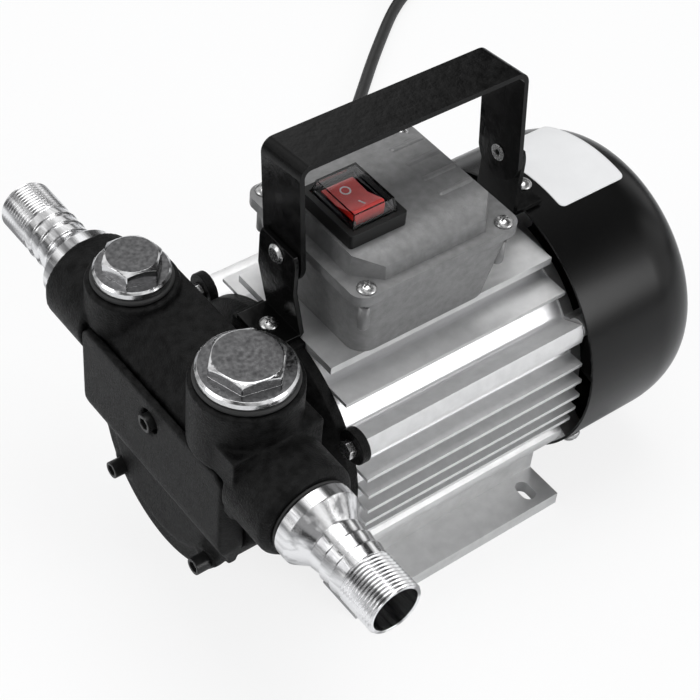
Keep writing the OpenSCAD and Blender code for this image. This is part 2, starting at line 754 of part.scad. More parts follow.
module casting_solid() {
  shaft_rod(chamber_front, front_x, casting_r, $fn = 96);
  slab_y(-brow_half, valve_y + 10) polygon([
    [bridge_back, casting_bottom], [bridge_back, bridge_top], [bridge_front, bridge_top],
    [casting_brow, brow_top + 1.6], [casting_brow, step_z], [chamber_front, step_z],
    [chamber_front, casting_bottom]
  ]);
  // Front boss on its square block
  block([brow_front + cut, -filter_y - filter_boss_r + cut, brow_top + cover_gap],
        [px + filter_boss_r - cut, -filter_y, bridge_top]);
  block([brow_front + cut, -filter_y - filter_boss_r + cut, pz - port_r / 2],
        [px + filter_boss_r - cut, -brow_half - cover_gap, bridge_top]);
  z_rod(px, -filter_y, brow_top + cover_gap, axis_h + filter_top, filter_boss_r);
  // Rear boss
  z_rod(px, valve_y, brow_top + cover_gap, axis_h + valve_top, valve_boss_r);
  // Port tubes
  y_rod(px, pz, -port_face + 3, -brow_half - cover_gap, port_r);
  translate([px, -port_face + 3, pz]) rotate([90, 0, 0]) cylinder(h = 3, r1 = port_r, r2 = port_r - 2.5);
  y_rod(px, pz, brow_half + cover_gap, port_face, port_r);
  // Ribs that carry the port tubes
  both_sides() translate([chamber_front, 0, 0]) rotate([90, 0, 90]) linear_extrude(height = port_rib_w)
    polygon([[brow_half + cover_gap, pz - port_rib_top], [port_face - 10, pz - 16], [port_face - 10, pz - port_rib_low],
             [casting_r - 5, axis_h - 16], [casting_r - port_rib_foot, axis_h]]);
}

module pump_casting() color([0.13, 0.13, 0.13]) difference() {
  casting_solid();
  shaft_rod(chamber_front - cut, chamber_back, chamber_r + fit);
  shaft_rod(chamber_front, front_x + cut, pump_shaft_r + 1);
  shaft_rod(front_x - 7, front_x + cut, 12 + fit);
  pump_screw_places() shaft_rod(casting_brow - cut, front_x + cut, m6_r + fit);
  shaft_rod(casting_brow - cut, screw_seat(0) + screw_well_floor + cover_gap, screw_boss_r + cover_gap, 0, top_screw_r);
  // Inlet side: port, strainer well and feed
  y_rod(px, pz, -port_face - cut, -filter_y, gallery_r);
  y_rod(px, pz, -port_face - cut, -port_face + port_thread_len, port_thread_r + fit);
  z_rod(px, -filter_y, filter_well_bottom, axis_h + filter_top + cut, filter_well_r);
  z_rod(feed_x, -feed_y, axis_h + 10, filter_well_bottom + 4, feed_r);
  // Outlet side: port, valve well and feed
  y_rod(px, pz, feed_y - 6, port_face + cut, gallery_r);
  y_rod(px, pz, port_face - port_thread_len, port_face + cut, port_thread_r + fit);
  z_rod(px, valve_y, seat_z, axis_h + valve_top + cut, valve_well_r);
  z_rod(feed_x, feed_y, axis_h + 10, pz, feed_r);
  // Bypass from the valve seat back to the strainer well
  z_rod(px, valve_y, cross_z, seat_z + cut, seat_hole_r);
  y_rod(px, cross_z, -filter_y, valve_y, cross_r);
  z_rod(px, -filter_y, cross_z, filter_well_bottom + cut, cross_r + 1);
}

module pump_liner() color("slategray") difference() {
  shaft_rod(chamber_front + fit, chamber_back - fit, chamber_r);
  shaft_rod(chamber_front - cut, chamber_back + cut, liner_bore_r, 0, -liner_shift);
  for (s = [-1, 1]) z_rod(feed_x, s * feed_y, axis_h, axis_h + chamber_r + cut, feed_r - 1);
}

module pump_rotor() color("gray") difference() {
  shaft_rod(chamber_front + run, chamber_back - run, pump_rotor_r);
  shaft_rod(chamber_front - cut, chamber_back + cut, pump_shaft_r + fit);
  for (i = [0:vane_count - 1]) rotate_on_shaft(i * 360 / vane_count)
    translate([chamber_front - cut, -vane_t / 2 - fit, pump_rotor_r - vane_depth])
      cube([chamber_len + 2 * cut, vane_t + 2 * fit, vane_depth + cut]);
}

// The vanes lie drawn in, so that they clear the liner all the way round
module vanes() color("saddlebrown") for (i = [0:vane_count - 1])
  rotate_on_shaft(i * 360 / vane_count)
    translate([chamber_front + 2 * run, -vane_t / 2, pump_rotor_r - vane_depth + fit])
      cube([chamber_len - 4 * run, vane_t, vane_depth - 0.3]);

module shaft_seal() color([0.1, 0.1, 0.1])
  shaft_ring(front_x - 7 + fit, front_x - 1, 12, pump_shaft_r + run);

// A plug with a threaded shank, a flange and a chamfered hexagon
module plug(y, top, well_r, flange_r, hex, hex_h, shank) {
  z0 = top + plug_seal_t;
  z1 = z0 + plug_flange_t;
  corner = hex / 2 / cos(30) * hex_corner_share;
  translate([px, y, 0]) {
    difference() {
      translate([0, 0, top - shank]) cylinder(h = shank + plug_seal_t + fit, r = well_r - 2 * fit);
      translate([0, 0, top - shank - cut]) cylinder(h = shank + cut - 2, r = well_r - 4);
    }
    rotate_extrude($fn = 96) polygon([[0, z0], [flange_r - 0.6, z0], [flange_r, z0 + 0.6],
      [flange_r, z1 - 1], [flange_r - 1, z1], [0, z1]]);
    intersection() {
      rotate([0, 0, hex_turn]) translate([0, 0, z1 - fit])
        cylinder(h = hex_h + fit, r = hex / 2 / cos(30), $fn = 6);
      translate([0, 0, z1 - 2 * fit]) rotate_extrude($fn = 96)
        polygon([[0, 0], [corner, 0], [corner, hex_h - 1.4], [hex / 2 - 0.7, hex_h + 2 * fit], [0, hex_h + 2 * fit]]);
    }
  }
}

module filter_plug() color("whitesmoke")
  plug(-filter_y, axis_h + filter_top, filter_well_r, filter_flange_r, filter_hex, filter_hex_h, filter_shank);

module valve_plug() color("whitesmoke")
  plug(valve_y, axis_h + valve_top, valve_well_r, valve_flange_r, valve_hex, valve_hex_h, valve_shank);

// A flat rubber ring under a plug's flange
module plug_ring(y, top, r0, r1) translate([px, y, top + fit]) rotate_extrude($fn = 96)
  polygon([[r0, 0], [r1, 0], [r1 + 0.6, (plug_seal_t - 2 * fit) / 2], [r1, plug_seal_t - 2 * fit],
           [r0, plug_seal_t - 2 * fit]]);

module filter_plug_seal() color([0.05, 0.05, 0.05])
  plug_ring(-filter_y, axis_h + filter_top, filter_well_r + fit, filter_flange_r + 0.6);

module valve_plug_seal() color([0.05, 0.05, 0.05])
  plug_ring(valve_y, axis_h + valve_top, valve_well_r + fit, valve_flange_r + 0.8);

// A basket under the front plug, open at the top, with windows for its gauze
module strainer() color("gold") translate([px, -filter_y, 0]) {
  z0 = filter_well_bottom + fit;
  z1 = axis_h + filter_top - filter_shank - fit;
  window = (z1 - z0) / 5;
  difference() {
    translate([0, 0, z0]) cylinder(h = z1 - z0, r = strainer_r);
    translate([0, 0, z0 + 1.5]) cylinder(h = z1, r = strainer_r - 1);
    for (k = [0:1], i = [0:3]) rotate([0, 0, i * 45])
      translate([-2 * strainer_r, -3, z0 + window * (1 + 1.8 * k)]) cube([4 * strainer_r, 6, window]);
  }
  translate([0, 0, z1 - 2]) difference() {
    cylinder(h = 2, r = filter_well_r - 2 * fit);
    translate([0, 0, -cut]) cylinder(h = 2 + 2 * cut, r = strainer_r - 0.5);
  }
}

module valve_poppet() color("goldenrod") translate([px, valve_y, 0]) rotate_extrude()
  polygon([[0, seat_z + fit], [seat_hole_r + 2.6, seat_z + fit], [seat_hole_r + 2.6, seat_z + 3],
           [4.5, seat_z + 3], [4.5, seat_z + 9], [0, seat_z + 9]]);

module valve_spring() color("silver") translate([px, valve_y, 0]) {
  z0 = seat_z + 3 + fit;
  z1 = axis_h + valve_top - 2 - fit;
  wire = 0.9;
  turns = 5;
  steps = 16;
  r = 7.4;
  rise = z1 - z0 - 2 * wire;
  n = turns * steps;
  sweep_tube([for (i = [0:n]) [r * cos(i * 360 / steps), r * sin(i * 360 / steps), z0 + wire + rise * i / n]],
    wire, 6);
}

// A hose tail, built along its own Z from the port's face outwards
module hose_tail() {
  z1 = tail_flange_t;
  z2 = z1 + 7;
  len = tail_tip - port_face - 1.5;
  z3 = len - thread_len;
  step = (z3 - z2) / barb_count;
  turns = floor(thread_len / thread_pitch);
  difference() {
    rotate_extrude($fn = 96) polygon(concat(
      [[0, -port_thread_len + 2], [port_thread_r - 2 * fit, -port_thread_len + 2], [port_thread_r - 2 * fit, -fit],
       [tail_flange_r - 1, 0], [tail_flange_r, 1], [tail_flange_r, z1 - 1.5], [tail_flange_r - 1.2, z1],
       [tail_r + 1.2, z2 - 1.5], [tail_r, z2]],
      [for (i = [0:barb_count - 1]) each [[tail_r, z2 + i * step + 0.4], [tail_r + 0.9, z2 + i * step + 1],
        [tail_r, z2 + (i + 1) * step - 0.3]]],
      [[tail_r - 0.4, z3]],
      [for (i = [0:turns - 1]) each [[thread_r - 0.9, z3 + (i + 0.1) * thread_pitch],
        [thread_r, z3 + (i + 0.5) * thread_pitch], [thread_r - 0.9, z3 + (i + 0.9) * thread_pitch]]],
      [[thread_r - 0.6, len], [0, len]]));
    translate([0, 0, -port_thread_len - cut]) cylinder(h = len + port_thread_len + 3 * cut, r = tail_bore_r);
  }
}

module hose_tail_front() color("whitesmoke")
  translate([px, -port_face - 1.5, pz]) rotate([90, 0, 0]) hose_tail();

module hose_tail_rear() color("whitesmoke")
  translate([px, port_face + 1.5, pz]) rotate([-90, 0, 0]) hose_tail();

module tail_seals() color([0.05, 0.05, 0.05]) both_sides()
  translate([px, port_face + fit, pz]) rotate([-90, 0, 0]) difference() {
    cylinder(h = 1.5 - 2 * fit, r = tail_flange_r - 0.4);
    translate([0, 0, -cut]) cylinder(h = 3 * cut, r = port_thread_r + fit);
  }

// Switch box

module box_places(dx, dy) for (s = [-1, 1], t = [-1, 1])
  translate([box_x + s * dx, t * dy, 0]) children();

module box_screw_places() box_places(28, 20) children();

// Tapered block with round corners, for the box and for its hollow
module box_body(z0, z1, inset) hull() {
  translate([box_x, 0, z0]) linear_extrude(height = 0.1)
    round_rect(box_len - base_inset + 1.6 - 2 * inset, lid_w - base_inset - 2 * inset, 9 - inset, $fn = 32);
  translate([box_x, 0, z1 - 0.1]) linear_extrude(height = 0.1)
    round_rect(box_len - top_inset - 2 * inset, lid_w - top_inset - 2 * inset, 8 - inset, $fn = 32);
}

module switch_box() color([0.45, 0.45, 0.45]) difference() {
  union() {
    difference() {
      box_body(plat, box_top, 0);
      box_body(plat + box_floor, box_top + 2, box_wall);
    }
    intersection() {
      box_body(plat, box_top, 0.5);
      box_places(lid_screw_x, lid_screw_y) z_rod(0, 0, plat, box_top, screw_post_r);
    }
  }
  box_places(lid_screw_x, lid_screw_y) z_rod(0, 0, box_top - lid_screw_depth, box_top + cut, m4_r + fit);
  box_screw_places() z_rod(0, 0, plat - cut, plat + box_screw_depth, m4_r + fit);
  z_rod(box_x, 0, plat - cut, plat + box_screw_depth, wire_hole_r);
  at_gland() translate([0, 0, -lid_w / 4]) cylinder(h = lid_w / 2, r = gland_r + fit);
}

module box_gasket() color([0.05, 0.05, 0.05]) translate([box_x, 0, box_top + fit])
  linear_extrude(height = gasket_t - 2 * fit) difference() {
    round_rect(box_len - 3.4, lid_w - 3.4, 7);
    round_rect(box_len - 10, lid_w - 10, 6);
    for (s = [-1, 1], t = [-1, 1]) translate([s * lid_screw_x, t * lid_screw_y]) circle(m4_r + 2 * fit);
  }

// Outline of the raised middle of the lid, with its corners cut for the screws
module hat_outline(inset) polygon([
  [hat_x0 + inset, -hat_half + hat_cut + inset / 2], [hat_x0 + hat_cut + inset / 2, -hat_half + inset],
  [hat_x1 - hat_cut - inset / 2, -hat_half + inset], [hat_x1 - inset, -hat_half + hat_cut + inset / 2],
  [hat_x1 - inset, hat_half - hat_cut - inset / 2], [hat_x1 - hat_cut - inset / 2, hat_half - inset],
  [hat_x0 + hat_cut + inset / 2, hat_half - inset], [hat_x0 + inset, hat_half - hat_cut - inset / 2]
]);

// The hat: a low wall, then a roof that slopes in at the front and the back
module hat(drop, inset) {
  z0 = lid_top - drop;
  hull() {
    translate([0, 0, z0]) linear_extrude(height = 0.1) hat_outline(inset);
    translate([0, 0, lid_top + hat_wall - drop - 0.1]) linear_extrude(height = 0.1) hat_outline(inset + 1);
  }
  hull() {
    translate([0, 0, lid_top + hat_wall - drop - 0.1]) linear_extrude(height = 0.1) hat_outline(inset + 1);
    translate([hat_x0 + inset, -hat_half + 10 + inset, hat_top - drop - 0.1])
      cube([hat_x1 - hat_x0 - 2 * inset - roof_back, 2 * hat_half - 28 - 2 * inset, 0.1]);
  }
}

module box_lid() color([0.48, 0.48, 0.48]) difference() {
  union() {
    translate([box_x, 0, lid_z]) linear_extrude(height = lid_t) round_rect(lid_len, lid_w, 7);
    hat(0, 0);
    for (i = [0:3]) y_pill(hat_x1 - roof_back - lid_rib_len, lid_rib_y + i * lid_rib_pitch);
  }
  hat(box_wall, box_wall);
  translate([box_x, 0, lid_z - cut]) linear_extrude(height = cut + 1.4)
    round_rect(lid_len - 20, lid_w - 20, 6);
  translate([bezel_x - socket_w / 2 - fit, bezel_y - socket_len / 2 - fit, lid_z])
    cube([socket_w + 2 * fit, socket_len + 2 * fit, 30]);
  box_places(lid_screw_x, lid_screw_y) z_rod(0, 0, lid_z - cut, lid_top + cut, m4_r + fit);
}

// A raised rib on the lid's roof, along the shaft from x, its ends rounded
module y_pill(x, y) translate([x, y, hat_top - lid_rib_r + cover_gap]) {
  rotate([0, 90, 0]) cylinder(h = lid_rib_len - lid_rib_r / 2, r = lid_rib_r, $fn = 24);
  sphere(r = lid_rib_r, $fn = 24);
}

module lid_screws() color("silver") box_places(lid_screw_x, lid_screw_y)
  pan_screw(0, 0, lid_top + fit, m4_r, lid_screw_shank);

module box_screws() color("silver") box_screw_places() pan_screw(0, 0, plat + box_floor + fit, m4_r, box_screw_shank);

module capacitor() color("white")
  translate([box_x - capacitor_back, -capacitor_side, plat + box_floor + capacitor_r + capacitor_gap])
    rotate([0, 90, 0]) rotate_extrude() polygon([
      [0, 0], [capacitor_r - capacitor_rim, 0], [capacitor_r, capacitor_rim],
      [capacitor_r, capacitor_len - capacitor_rim], [capacitor_r - capacitor_rim, capacitor_len], [0, capacitor_len]
    ]);

module terminal_block() color("ivory") difference() {
  block([box_x + 4, 3, plat + box_floor + fit], [box_x + 22, 15, plat + 13]);
  for (i = [0:2]) z_rod(box_x + 7.5 + i * 5.5, 9, plat + 9, plat + 14, 2);
}

module switch_body() color([0.06, 0.06, 0.06]) difference() {
  union() {
    translate([bezel_x, bezel_y, hat_top]) linear_extrude(height = bezel_h)
      round_rect(bezel_w, bezel_len, 1.5);
    block([bezel_x - socket_w / 2, bezel_y - socket_len / 2, hat_top - socket_depth],
          [bezel_x + socket_w / 2, bezel_y + socket_len / 2, hat_top + fit]);
  }
  block([bezel_x - rocker_w / 2 - 1, bezel_y - rocker_len / 2 - 1.6, hat_top - 9],
        [bezel_x + rocker_w / 2 + 1, bezel_y + rocker_len / 2 + 1.6, hat_top + bezel_h + cut]);
  y_slot_rim();
  translate([bezel_x - rocker_w / 2 - 3, bezel_y, rocker_z]) rotate([0, 90, 0])
    cylinder(h = rocker_w + 6, r = 1.2 + fit);
}

// Groove in the bezel that the clear cap's rim sits in
module y_slot_rim() translate([bezel_x, bezel_y - 0.2, hat_top + bezel_h - 1.5])
  linear_extrude(height = 3) difference() {
    square([24.4, 30.4], center = true);
    square([21, 26.8], center = true);
  }

// The rocker, pressed down at its back end
module rocker() color("red") translate([bezel_x, bezel_y, rocker_z]) rotate([-rocker_swing / 2, 0, 0]) {
  half = rocker_len / 2;
  translate([-rocker_w / 2, 0, 0]) rotate([90, 0, 90]) linear_extrude(height = rocker_w) polygon([
    [-half, 4.6], [-half + 1.2, 5.4], [0, 3.2], [half - 1.2, 5.4], [half, 4.6], [half - 1, -1.5],
    [3, -5], [-3, -5], [-half + 1, -1.5]
  ]);
  translate([-rocker_w / 2 - 1.8, 0, 0]) rotate([0, 90, 0]) cylinder(h = rocker_w + 3.6, r = 1.2);
}

module switch_cap() color([0.8, 0.85, 0.85]) translate([bezel_x, bezel_y - 0.2, hat_top + bezel_h - 1.5 + fit])
  difference() {
    linear_extrude(height = cap_h + 1.5, scale = cap_taper_share) square([24, 30], center = true);
    translate([0, 0, -fit]) linear_extrude(height = cap_h + 0.5, scale = cap_taper_share) square([22, 28], center = true);
  }

// Handle

// Turns the handle's own frame to its lean, at the pivots
module at_pivot() translate([0, 0, pivot_h]) rotate([-handle_lean, 0, 0]) children();

// Round-ended leg of the handle in its own frame, from x0 to x1
module leg(x0, x1) translate([x0, 0, 0]) rotate([90, 0, 90]) linear_extrude(height = x1 - x0) {
  translate([-strip_w / 2, 0]) square([strip_w, handle_h - bend_r]);
  intersection() {
    circle(r = strip_w / 2 + 0.2);
    translate([-strip_w / 2, -strip_w]) square([strip_w, strip_w]);
  }
}

// Quarter bend between a leg and the grip
module strip_bend() translate([leg_x0 + bend_r, 0, handle_h - bend_r]) rotate([90, 0, 0])
  translate([0, 0, -strip_w / 2]) intersection() {
    difference() {
      cylinder(h = strip_w, r = bend_r);
      translate([0, 0, -cut]) cylinder(h = strip_w + 2 * cut, r = bend_r - strip_t);
    }
    translate([-bend_r, 0, 0]) cube([bend_r, bend_r, strip_w]);
  }

module handle() color([0.07, 0.07, 0.07]) at_pivot() difference() {
  union() {
    leg(leg_x0, leg_x0 + strip_t);
    leg(leg_x1 - strip_t, leg_x1);
    strip_bend();
    translate([2 * handle_x, 0, 0]) mirror([1, 0, 0]) strip_bend();
    block([leg_x0 + bend_r, -strip_w / 2, handle_h - strip_t], [leg_x1 - bend_r, strip_w / 2, handle_h]);
  }
  translate([leg_x0 - cut, 0, 0]) rotate([0, 90, 0]) cylinder(h = handle_len + 2 * cut, r = rivet_r + fit);
}

// Upright of a bracket seen along the shaft: round at the top, z0 to the pivot and over it
module upright_outline(z0) {
  translate([-bracket_w / 2, z0]) square([bracket_w, pivot_h - z0]);
  translate([0, pivot_h]) intersection() {
    circle(r = bracket_w / 2);
    translate([-bracket_w / 2, 0]) square([bracket_w, bracket_top]);
  }
}

module upright_cut(x0, x1, z0) translate([x0, 0, 0]) rotate([90, 0, 90])
  linear_extrude(height = x1 - x0) upright_outline(z0);

// The pump side bracket leans out from its foot on the front shield
module bracket_front() color([0.07, 0.07, 0.07]) {
  x0 = leg_x0 - run;
  xb = -end_x - 1;
  z0 = plat + fit;
  difference() {
    union() {
      intersection() {
        slab_y(-bracket_w / 2, bracket_w / 2) polygon([
          [xb - foot_len, z0], [xb, z0], [xb + bracket_t, z0 + bracket_t], [x0, pivot_h - 14],
          [x0, pivot_h + bracket_top + cut], [x0 - bracket_t, pivot_h + bracket_top + cut],
          [x0 - bracket_t, pivot_h - 14.4], [xb, z0 + bracket_t], [xb - foot_len, z0 + bracket_t]
        ]);
        upright_cut(xb - foot_len - cut, xb + 6, z0 - cut);
      }
    }
    translate([x0 - bracket_t - cut, 0, pivot_h]) rotate([0, 90, 0])
      cylinder(h = bracket_t + 2 * cut, r = rivet_r + fit);
    z_rod(-end_x - 8.3, 0, z0 - cut, z0 + bracket_t + cut, m4_r + fit);
  }
}

// The fan side bracket stands on the top of the fan cover
module bracket_rear() color([0.07, 0.07, 0.07]) {
  x0 = leg_x1 + run;
  z0 = axis_h + cover_r + fit;
  difference() {
    intersection() {
      slab_y(-bracket_w / 2, bracket_w / 2) polygon([
        [x0, z0], [x0 + foot_len + bracket_t, z0], [x0 + foot_len + bracket_t, z0 + bracket_t],
        [x0 + bracket_t, z0 + bracket_t], [x0 + bracket_t, pivot_h + bracket_top + cut],
        [x0, pivot_h + bracket_top + cut]
      ]);
      upright_cut(x0 - cut, x0 + foot_len + 2 * bracket_t, z0 - cut);
    }
    translate([x0 - cut, 0, pivot_h]) rotate([0, 90, 0])
      cylinder(h = bracket_t + 2 * cut, r = rivet_r + fit);
    z_rod(cover_screw_x, 0, z0 - cut, z0 + bracket_t + cut, m4_r + fit);
  }
}

// Rivets: a flat head outside and a rolled end inside
module handle_rivets() color("silver") for (s = [0, 1])
  translate([s == 0 ? 0 : 2 * handle_x, 0, pivot_h]) mirror([s, 0, 0])
    translate([leg_x0 - run - bracket_t, 0, 0]) rotate([0, 90, 0]) rotate_extrude()
      polygon([[0, -1.7], [rivet_head_r - 1.2, -1.7], [rivet_head_r, -0.6], [rivet_head_r, -fit],
        [rivet_r, -fit], [rivet_r, bracket_t + run + strip_t + fit],
        [rivet_head_r - 0.6, bracket_t + run + strip_t + fit],
        [rivet_head_r - 0.6, bracket_t + run + strip_t + 0.8], [1.6, bracket_t + run + strip_t + 0.8],
        [1.6, 2], [0, 2]]);

module bracket_screws() color("silver") {
  pan_screw(-end_x - 8.3, 0, plat + bracket_t + 2 * fit, m4_r, 10);
  pan_screw(cover_screw_x, 0, axis_h + cover_r + bracket_t + 2 * fit, m4_r, 12);
}

// Lead

// Points a shape's own Z out of the box's rear wall, square to it
module at_gland() translate([gland_x, gland_y, gland_h]) rotate([-90 - wall_lean, 0, 0]) children();

module cable_gland() color([0.06, 0.06, 0.06]) at_gland() difference() {
  union() {
    translate([0, 0, -box_wall - 8]) cylinder(h = box_wall + 9, r = gland_r);
    translate([0, 0, fit]) cylinder(h = gland_hex_t, r = gland_hex / 2 / cos(30), $fn = 6);
    translate([0, 0, -gland_seat - 4]) cylinder(h = 4, r = gland_r + 1.2, $fn = 6);
  }
  translate([0, 0, -box_wall - 9]) cylinder(h = 30, r = cord_r + 0.1);
}

// The gland's nut, which ends in a tapered tail that keeps the lead from kinking
module strain_relief() color([0.06, 0.06, 0.06]) at_gland() rotate_extrude() polygon([
  [0, gland_hex_t + 2 * fit], [gland_hex / 2, gland_hex_t + 2 * fit], [gland_hex / 2, gland_hex_t + 7],
  [gland_hex / 2 - 1.5, gland_hex_t + 9], [cord_r + 2.4, gland_hex_t + 10],
  [cord_r + 1, gland_hex_t + relief_len], [0, gland_hex_t + relief_len]
]);

// Unit vector, and the frame of a tube at a point: sideways and up
function unit(v) = v / norm(v);
function ahead(p, i) = unit(p[min(i + 1, len(p) - 1)] - p[max(i - 1, 0)]);
function carry(n, t) = unit(n - t * (n * t));
function frames(p, i = 0, n = [0.1, 0.2, 1]) = i == len(p) ? [] :
  let (t = ahead(p, i), m = carry(n, t)) concat([[m, cross(t, m)]], frames(p, i + 1, m));

// One closed tube along points
module sweep_tube(p, r, sides) {
  f = frames(p);
  n = len(p);
  ring = [for (i = [0:n - 1], k = [0:sides - 1])
    p[i] + r * (cos(k * 360 / sides) * f[i][0] + sin(k * 360 / sides) * f[i][1])];
  skin = [for (i = [0:n - 2], k = [0:sides - 1]) let (j = (k + 1) % sides)
    each [[i * sides + k, (i + 1) * sides + j, i * sides + j],
          [i * sides + k, (i + 1) * sides + k, (i + 1) * sides + j]]];
  start = [for (k = [1:sides - 2]) [0, k, k + 1]];
  stop = [for (k = [1:sides - 2]) [(n - 1) * sides, (n - 1) * sides + k + 1, (n - 1) * sides + k]];
  polyhedron(points = ring, faces = concat(skin, start, stop), convexity = 10);
}

// Smooth curve through hand-placed points, in n steps a span
function bend(p, i, t) = let (a = p[max(i - 1, 0)], b = p[i], c = p[i + 1], d = p[min(i + 2, len(p) - 1)])
  0.5 * (2 * b + t * (c - a) + t * t * (2 * a - 5 * b + 4 * c - d) + t * t * t * (3 * b - a - 3 * c + d));
function smooth(p, n) = concat([for (i = [0:len(p) - 2], k = [0:n - 1]) bend(p, i, k / n)], [p[len(p) - 1]]);

// The coil's line, t turns from where it turns back
function coil_radius(t) = coil_in + coil_step * abs(t);
function coil_rise(t) = coil_step * (t < -0.25 ? 0 : t > 0.25 ? 1 : (1 + sin(360 * t)) / 2);
function coil_point(t) = let (a = coil_start + 360 * (t + coil_turns))
  [coil_x + coil_radius(t) * cos(a), coil_y + coil_radius(t) * sin(a), floor_z + coil_rise(t)];
COIL = [for (i = [0:2 * coil_turns * coil_rings]) coil_point(i / coil_rings - coil_turns)];
coil_last = COIL[len(COIL) - 1];
COIL_LINE = concat([COIL[0] - [2 * cord_r, 0, 0]], COIL,
  [coil_last - [2 * cord_r, 0, 0], coil_last - [tail_len, 0, 0]]);

// Least gap between the coil's turns, and the lead's whole length
coil_gap = min([for (i = [0:len(COIL) - 1], j = [i + coil_rings / 2:1:len(COIL) - 1])
  norm(COIL[i] - COIL[j]) - cord_d]);
function steps(p) = [for (i = [1:len(p) - 1]) norm(p[i] - p[i - 1])];
function total(v, i = 0) = i == len(v) ? 0 : v[i] + total(v, i + 1);
exit_point = [gland_x, gland_y + (gland_hex_t + relief_len) * cos(wall_lean),
  gland_h - (gland_hex_t + relief_len) * sin(wall_lean)];
exit_way = [0, cos(wall_lean), -sin(wall_lean)];
CORD_LINE = concat([exit_point], smooth(concat([exit_point + cord_r * exit_way], ROUTE,
  [COIL[0] - [4 * cord_r, 0, 0]]), 2), [COIL[0] - [2 * cord_r, 0, 0]]);
echo(coil_gap = coil_gap, lead_length = total(steps(CORD_LINE)) + total(steps(COIL_LINE)), exit_point = exit_point);

module cord() color([0.05, 0.05, 0.05]) sweep_tube(CORD_LINE, cord_r, cord_sides);

module cord_coil() color([0.05, 0.05, 0.05]) sweep_tube(COIL_LINE, cord_r, coil_sides);

// The plug lies on the floor beside the coil, its pins away from the lead
module at_plug() translate(coil_last - [tail_len, 0, 0]) rotate([0, -90, 0]) children();

module plug_pin_places() for (s = [-1, 1])
  translate(coil_last + [0, s * pin_gap, 0]) translate([-tail_len - plug_neck - plug_len, 0, 0])
    rotate([0, -90, 0]) children();

module plug_body() color([0.05, 0.05, 0.05]) difference() {
  plug_t = 2 * coil_last[2];
  x0 = coil_last[0] - tail_len - plug_neck;
  y0 = coil_last[1];
  union() {
    at_plug() rotate_extrude() polygon([[0, 0], [cord_r + 1, 0], [cord_r + 3, plug_neck - 2],
      [cord_r + 3, plug_neck + 4], [0, plug_neck + 4]]);
    linear_extrude(height = plug_t) polygon([
      [x0, y0 - plug_half / 2], [x0, y0 + plug_half / 2], [x0 - 6, y0 + plug_half * 0.8],
      [x0 - 14, y0 + plug_half], [x0 - plug_len, y0 + plug_half], [x0 - plug_len, y0 - plug_half],
      [x0 - 14, y0 - plug_half], [x0 - 6, y0 - plug_half * 0.8]
    ]);
  }
  plug_pin_places() translate([0, 0, -pin_root]) cylinder(h = pin_root + cut, r = pin_r + fit);
}

module plug_pins() color("silver") plug_pin_places() rotate_extrude() polygon([
  [0, fit - pin_root], [pin_r, fit - pin_root], [pin_r, pin_len - pin_tip], [pin_r - pin_tip, pin_len], [0, pin_len]
]);

motor_housing();
front_shield();
rear_shield();
fan_cover();
cover_screws();
tie_bolts();
stator_core();
windings();
rotor_core();
motor_shaft();
bearing_outer_rings();
bearing_inner_rings();
bearing_balls();
cooling_fan();
fan_clip();
pump_casting();
pump_cover();
cover_seal();
pump_screws();
pump_liner();
pump_rotor();
vanes();
shaft_seal();
filter_plug();
filter_plug_seal();
strainer();
valve_plug();
valve_plug_seal();
valve_poppet();
valve_spring();
hose_tail_front();
hose_tail_rear();
tail_seals();
switch_box();
box_gasket();
box_lid();
lid_screws();
box_screws();
capacitor();
terminal_block();
switch_body();
rocker();
switch_cap();
handle();
bracket_front();
bracket_rear();
handle_rivets();
bracket_screws();
cable_gland();
strain_relief();
cord();
cord_coil();
plug_body();
plug_pins();
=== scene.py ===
# %% [markdown]
# # An electric oil transfer pump
# The pump is an assembly of real parts: a finned motor on two long feet, a vane pump with two
# hose tails on its nose, a switch box on top and a carry handle that folds. The solids come
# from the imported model. This lesson dresses them: it softens their edges, gives each one a
# finish, and adds the lead, four small bosses on the switch box, the blank label and the marks
# on the rocker.

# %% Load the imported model
import json
import math

import bpy
import numpy as np
from mathutils import Matrix, Vector


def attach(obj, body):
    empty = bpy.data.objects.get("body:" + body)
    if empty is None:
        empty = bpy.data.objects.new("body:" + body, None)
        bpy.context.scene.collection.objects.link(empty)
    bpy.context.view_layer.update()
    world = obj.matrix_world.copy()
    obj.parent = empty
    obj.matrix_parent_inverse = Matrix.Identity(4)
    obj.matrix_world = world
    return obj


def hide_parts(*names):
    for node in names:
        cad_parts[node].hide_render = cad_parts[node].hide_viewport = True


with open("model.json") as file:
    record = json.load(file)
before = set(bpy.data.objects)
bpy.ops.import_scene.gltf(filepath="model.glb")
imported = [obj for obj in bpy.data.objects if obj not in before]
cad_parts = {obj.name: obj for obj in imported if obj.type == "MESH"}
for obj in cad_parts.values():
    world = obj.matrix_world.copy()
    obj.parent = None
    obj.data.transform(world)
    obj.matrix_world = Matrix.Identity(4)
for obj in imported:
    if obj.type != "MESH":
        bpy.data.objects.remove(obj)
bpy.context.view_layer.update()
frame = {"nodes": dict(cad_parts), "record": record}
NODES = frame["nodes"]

MM = 0.001
AXIS_H = 79.5
BOX_X, BOX_TOP, SCREW_X, SCREW_Y = -12.7, 177.3, 37.5, 36.3

# %% [markdown]
# ## Camera
# A product photograph is taken from some distance with a long lens, so its lines hardly
# converge. One way to place the camera is by eye, but a camera can also be solved from points
# whose real places are known, such as screws and corners. This one was solved, and it is
# written as a place, two angles and a roll, from which the matrix is built row by row.

# %% Place the camera
AZIMUTH, ELEVATION, ROLL = (math.radians(a) for a in (-41.74, 45.83, -6.08))
CAMERA_AT = Vector((-419.26, -443.76, 712.27)) * MM
SENSOR, LENS = 36.0, 94.86
CLIP_NEAR, CLIP_FAR = 0.05, 20

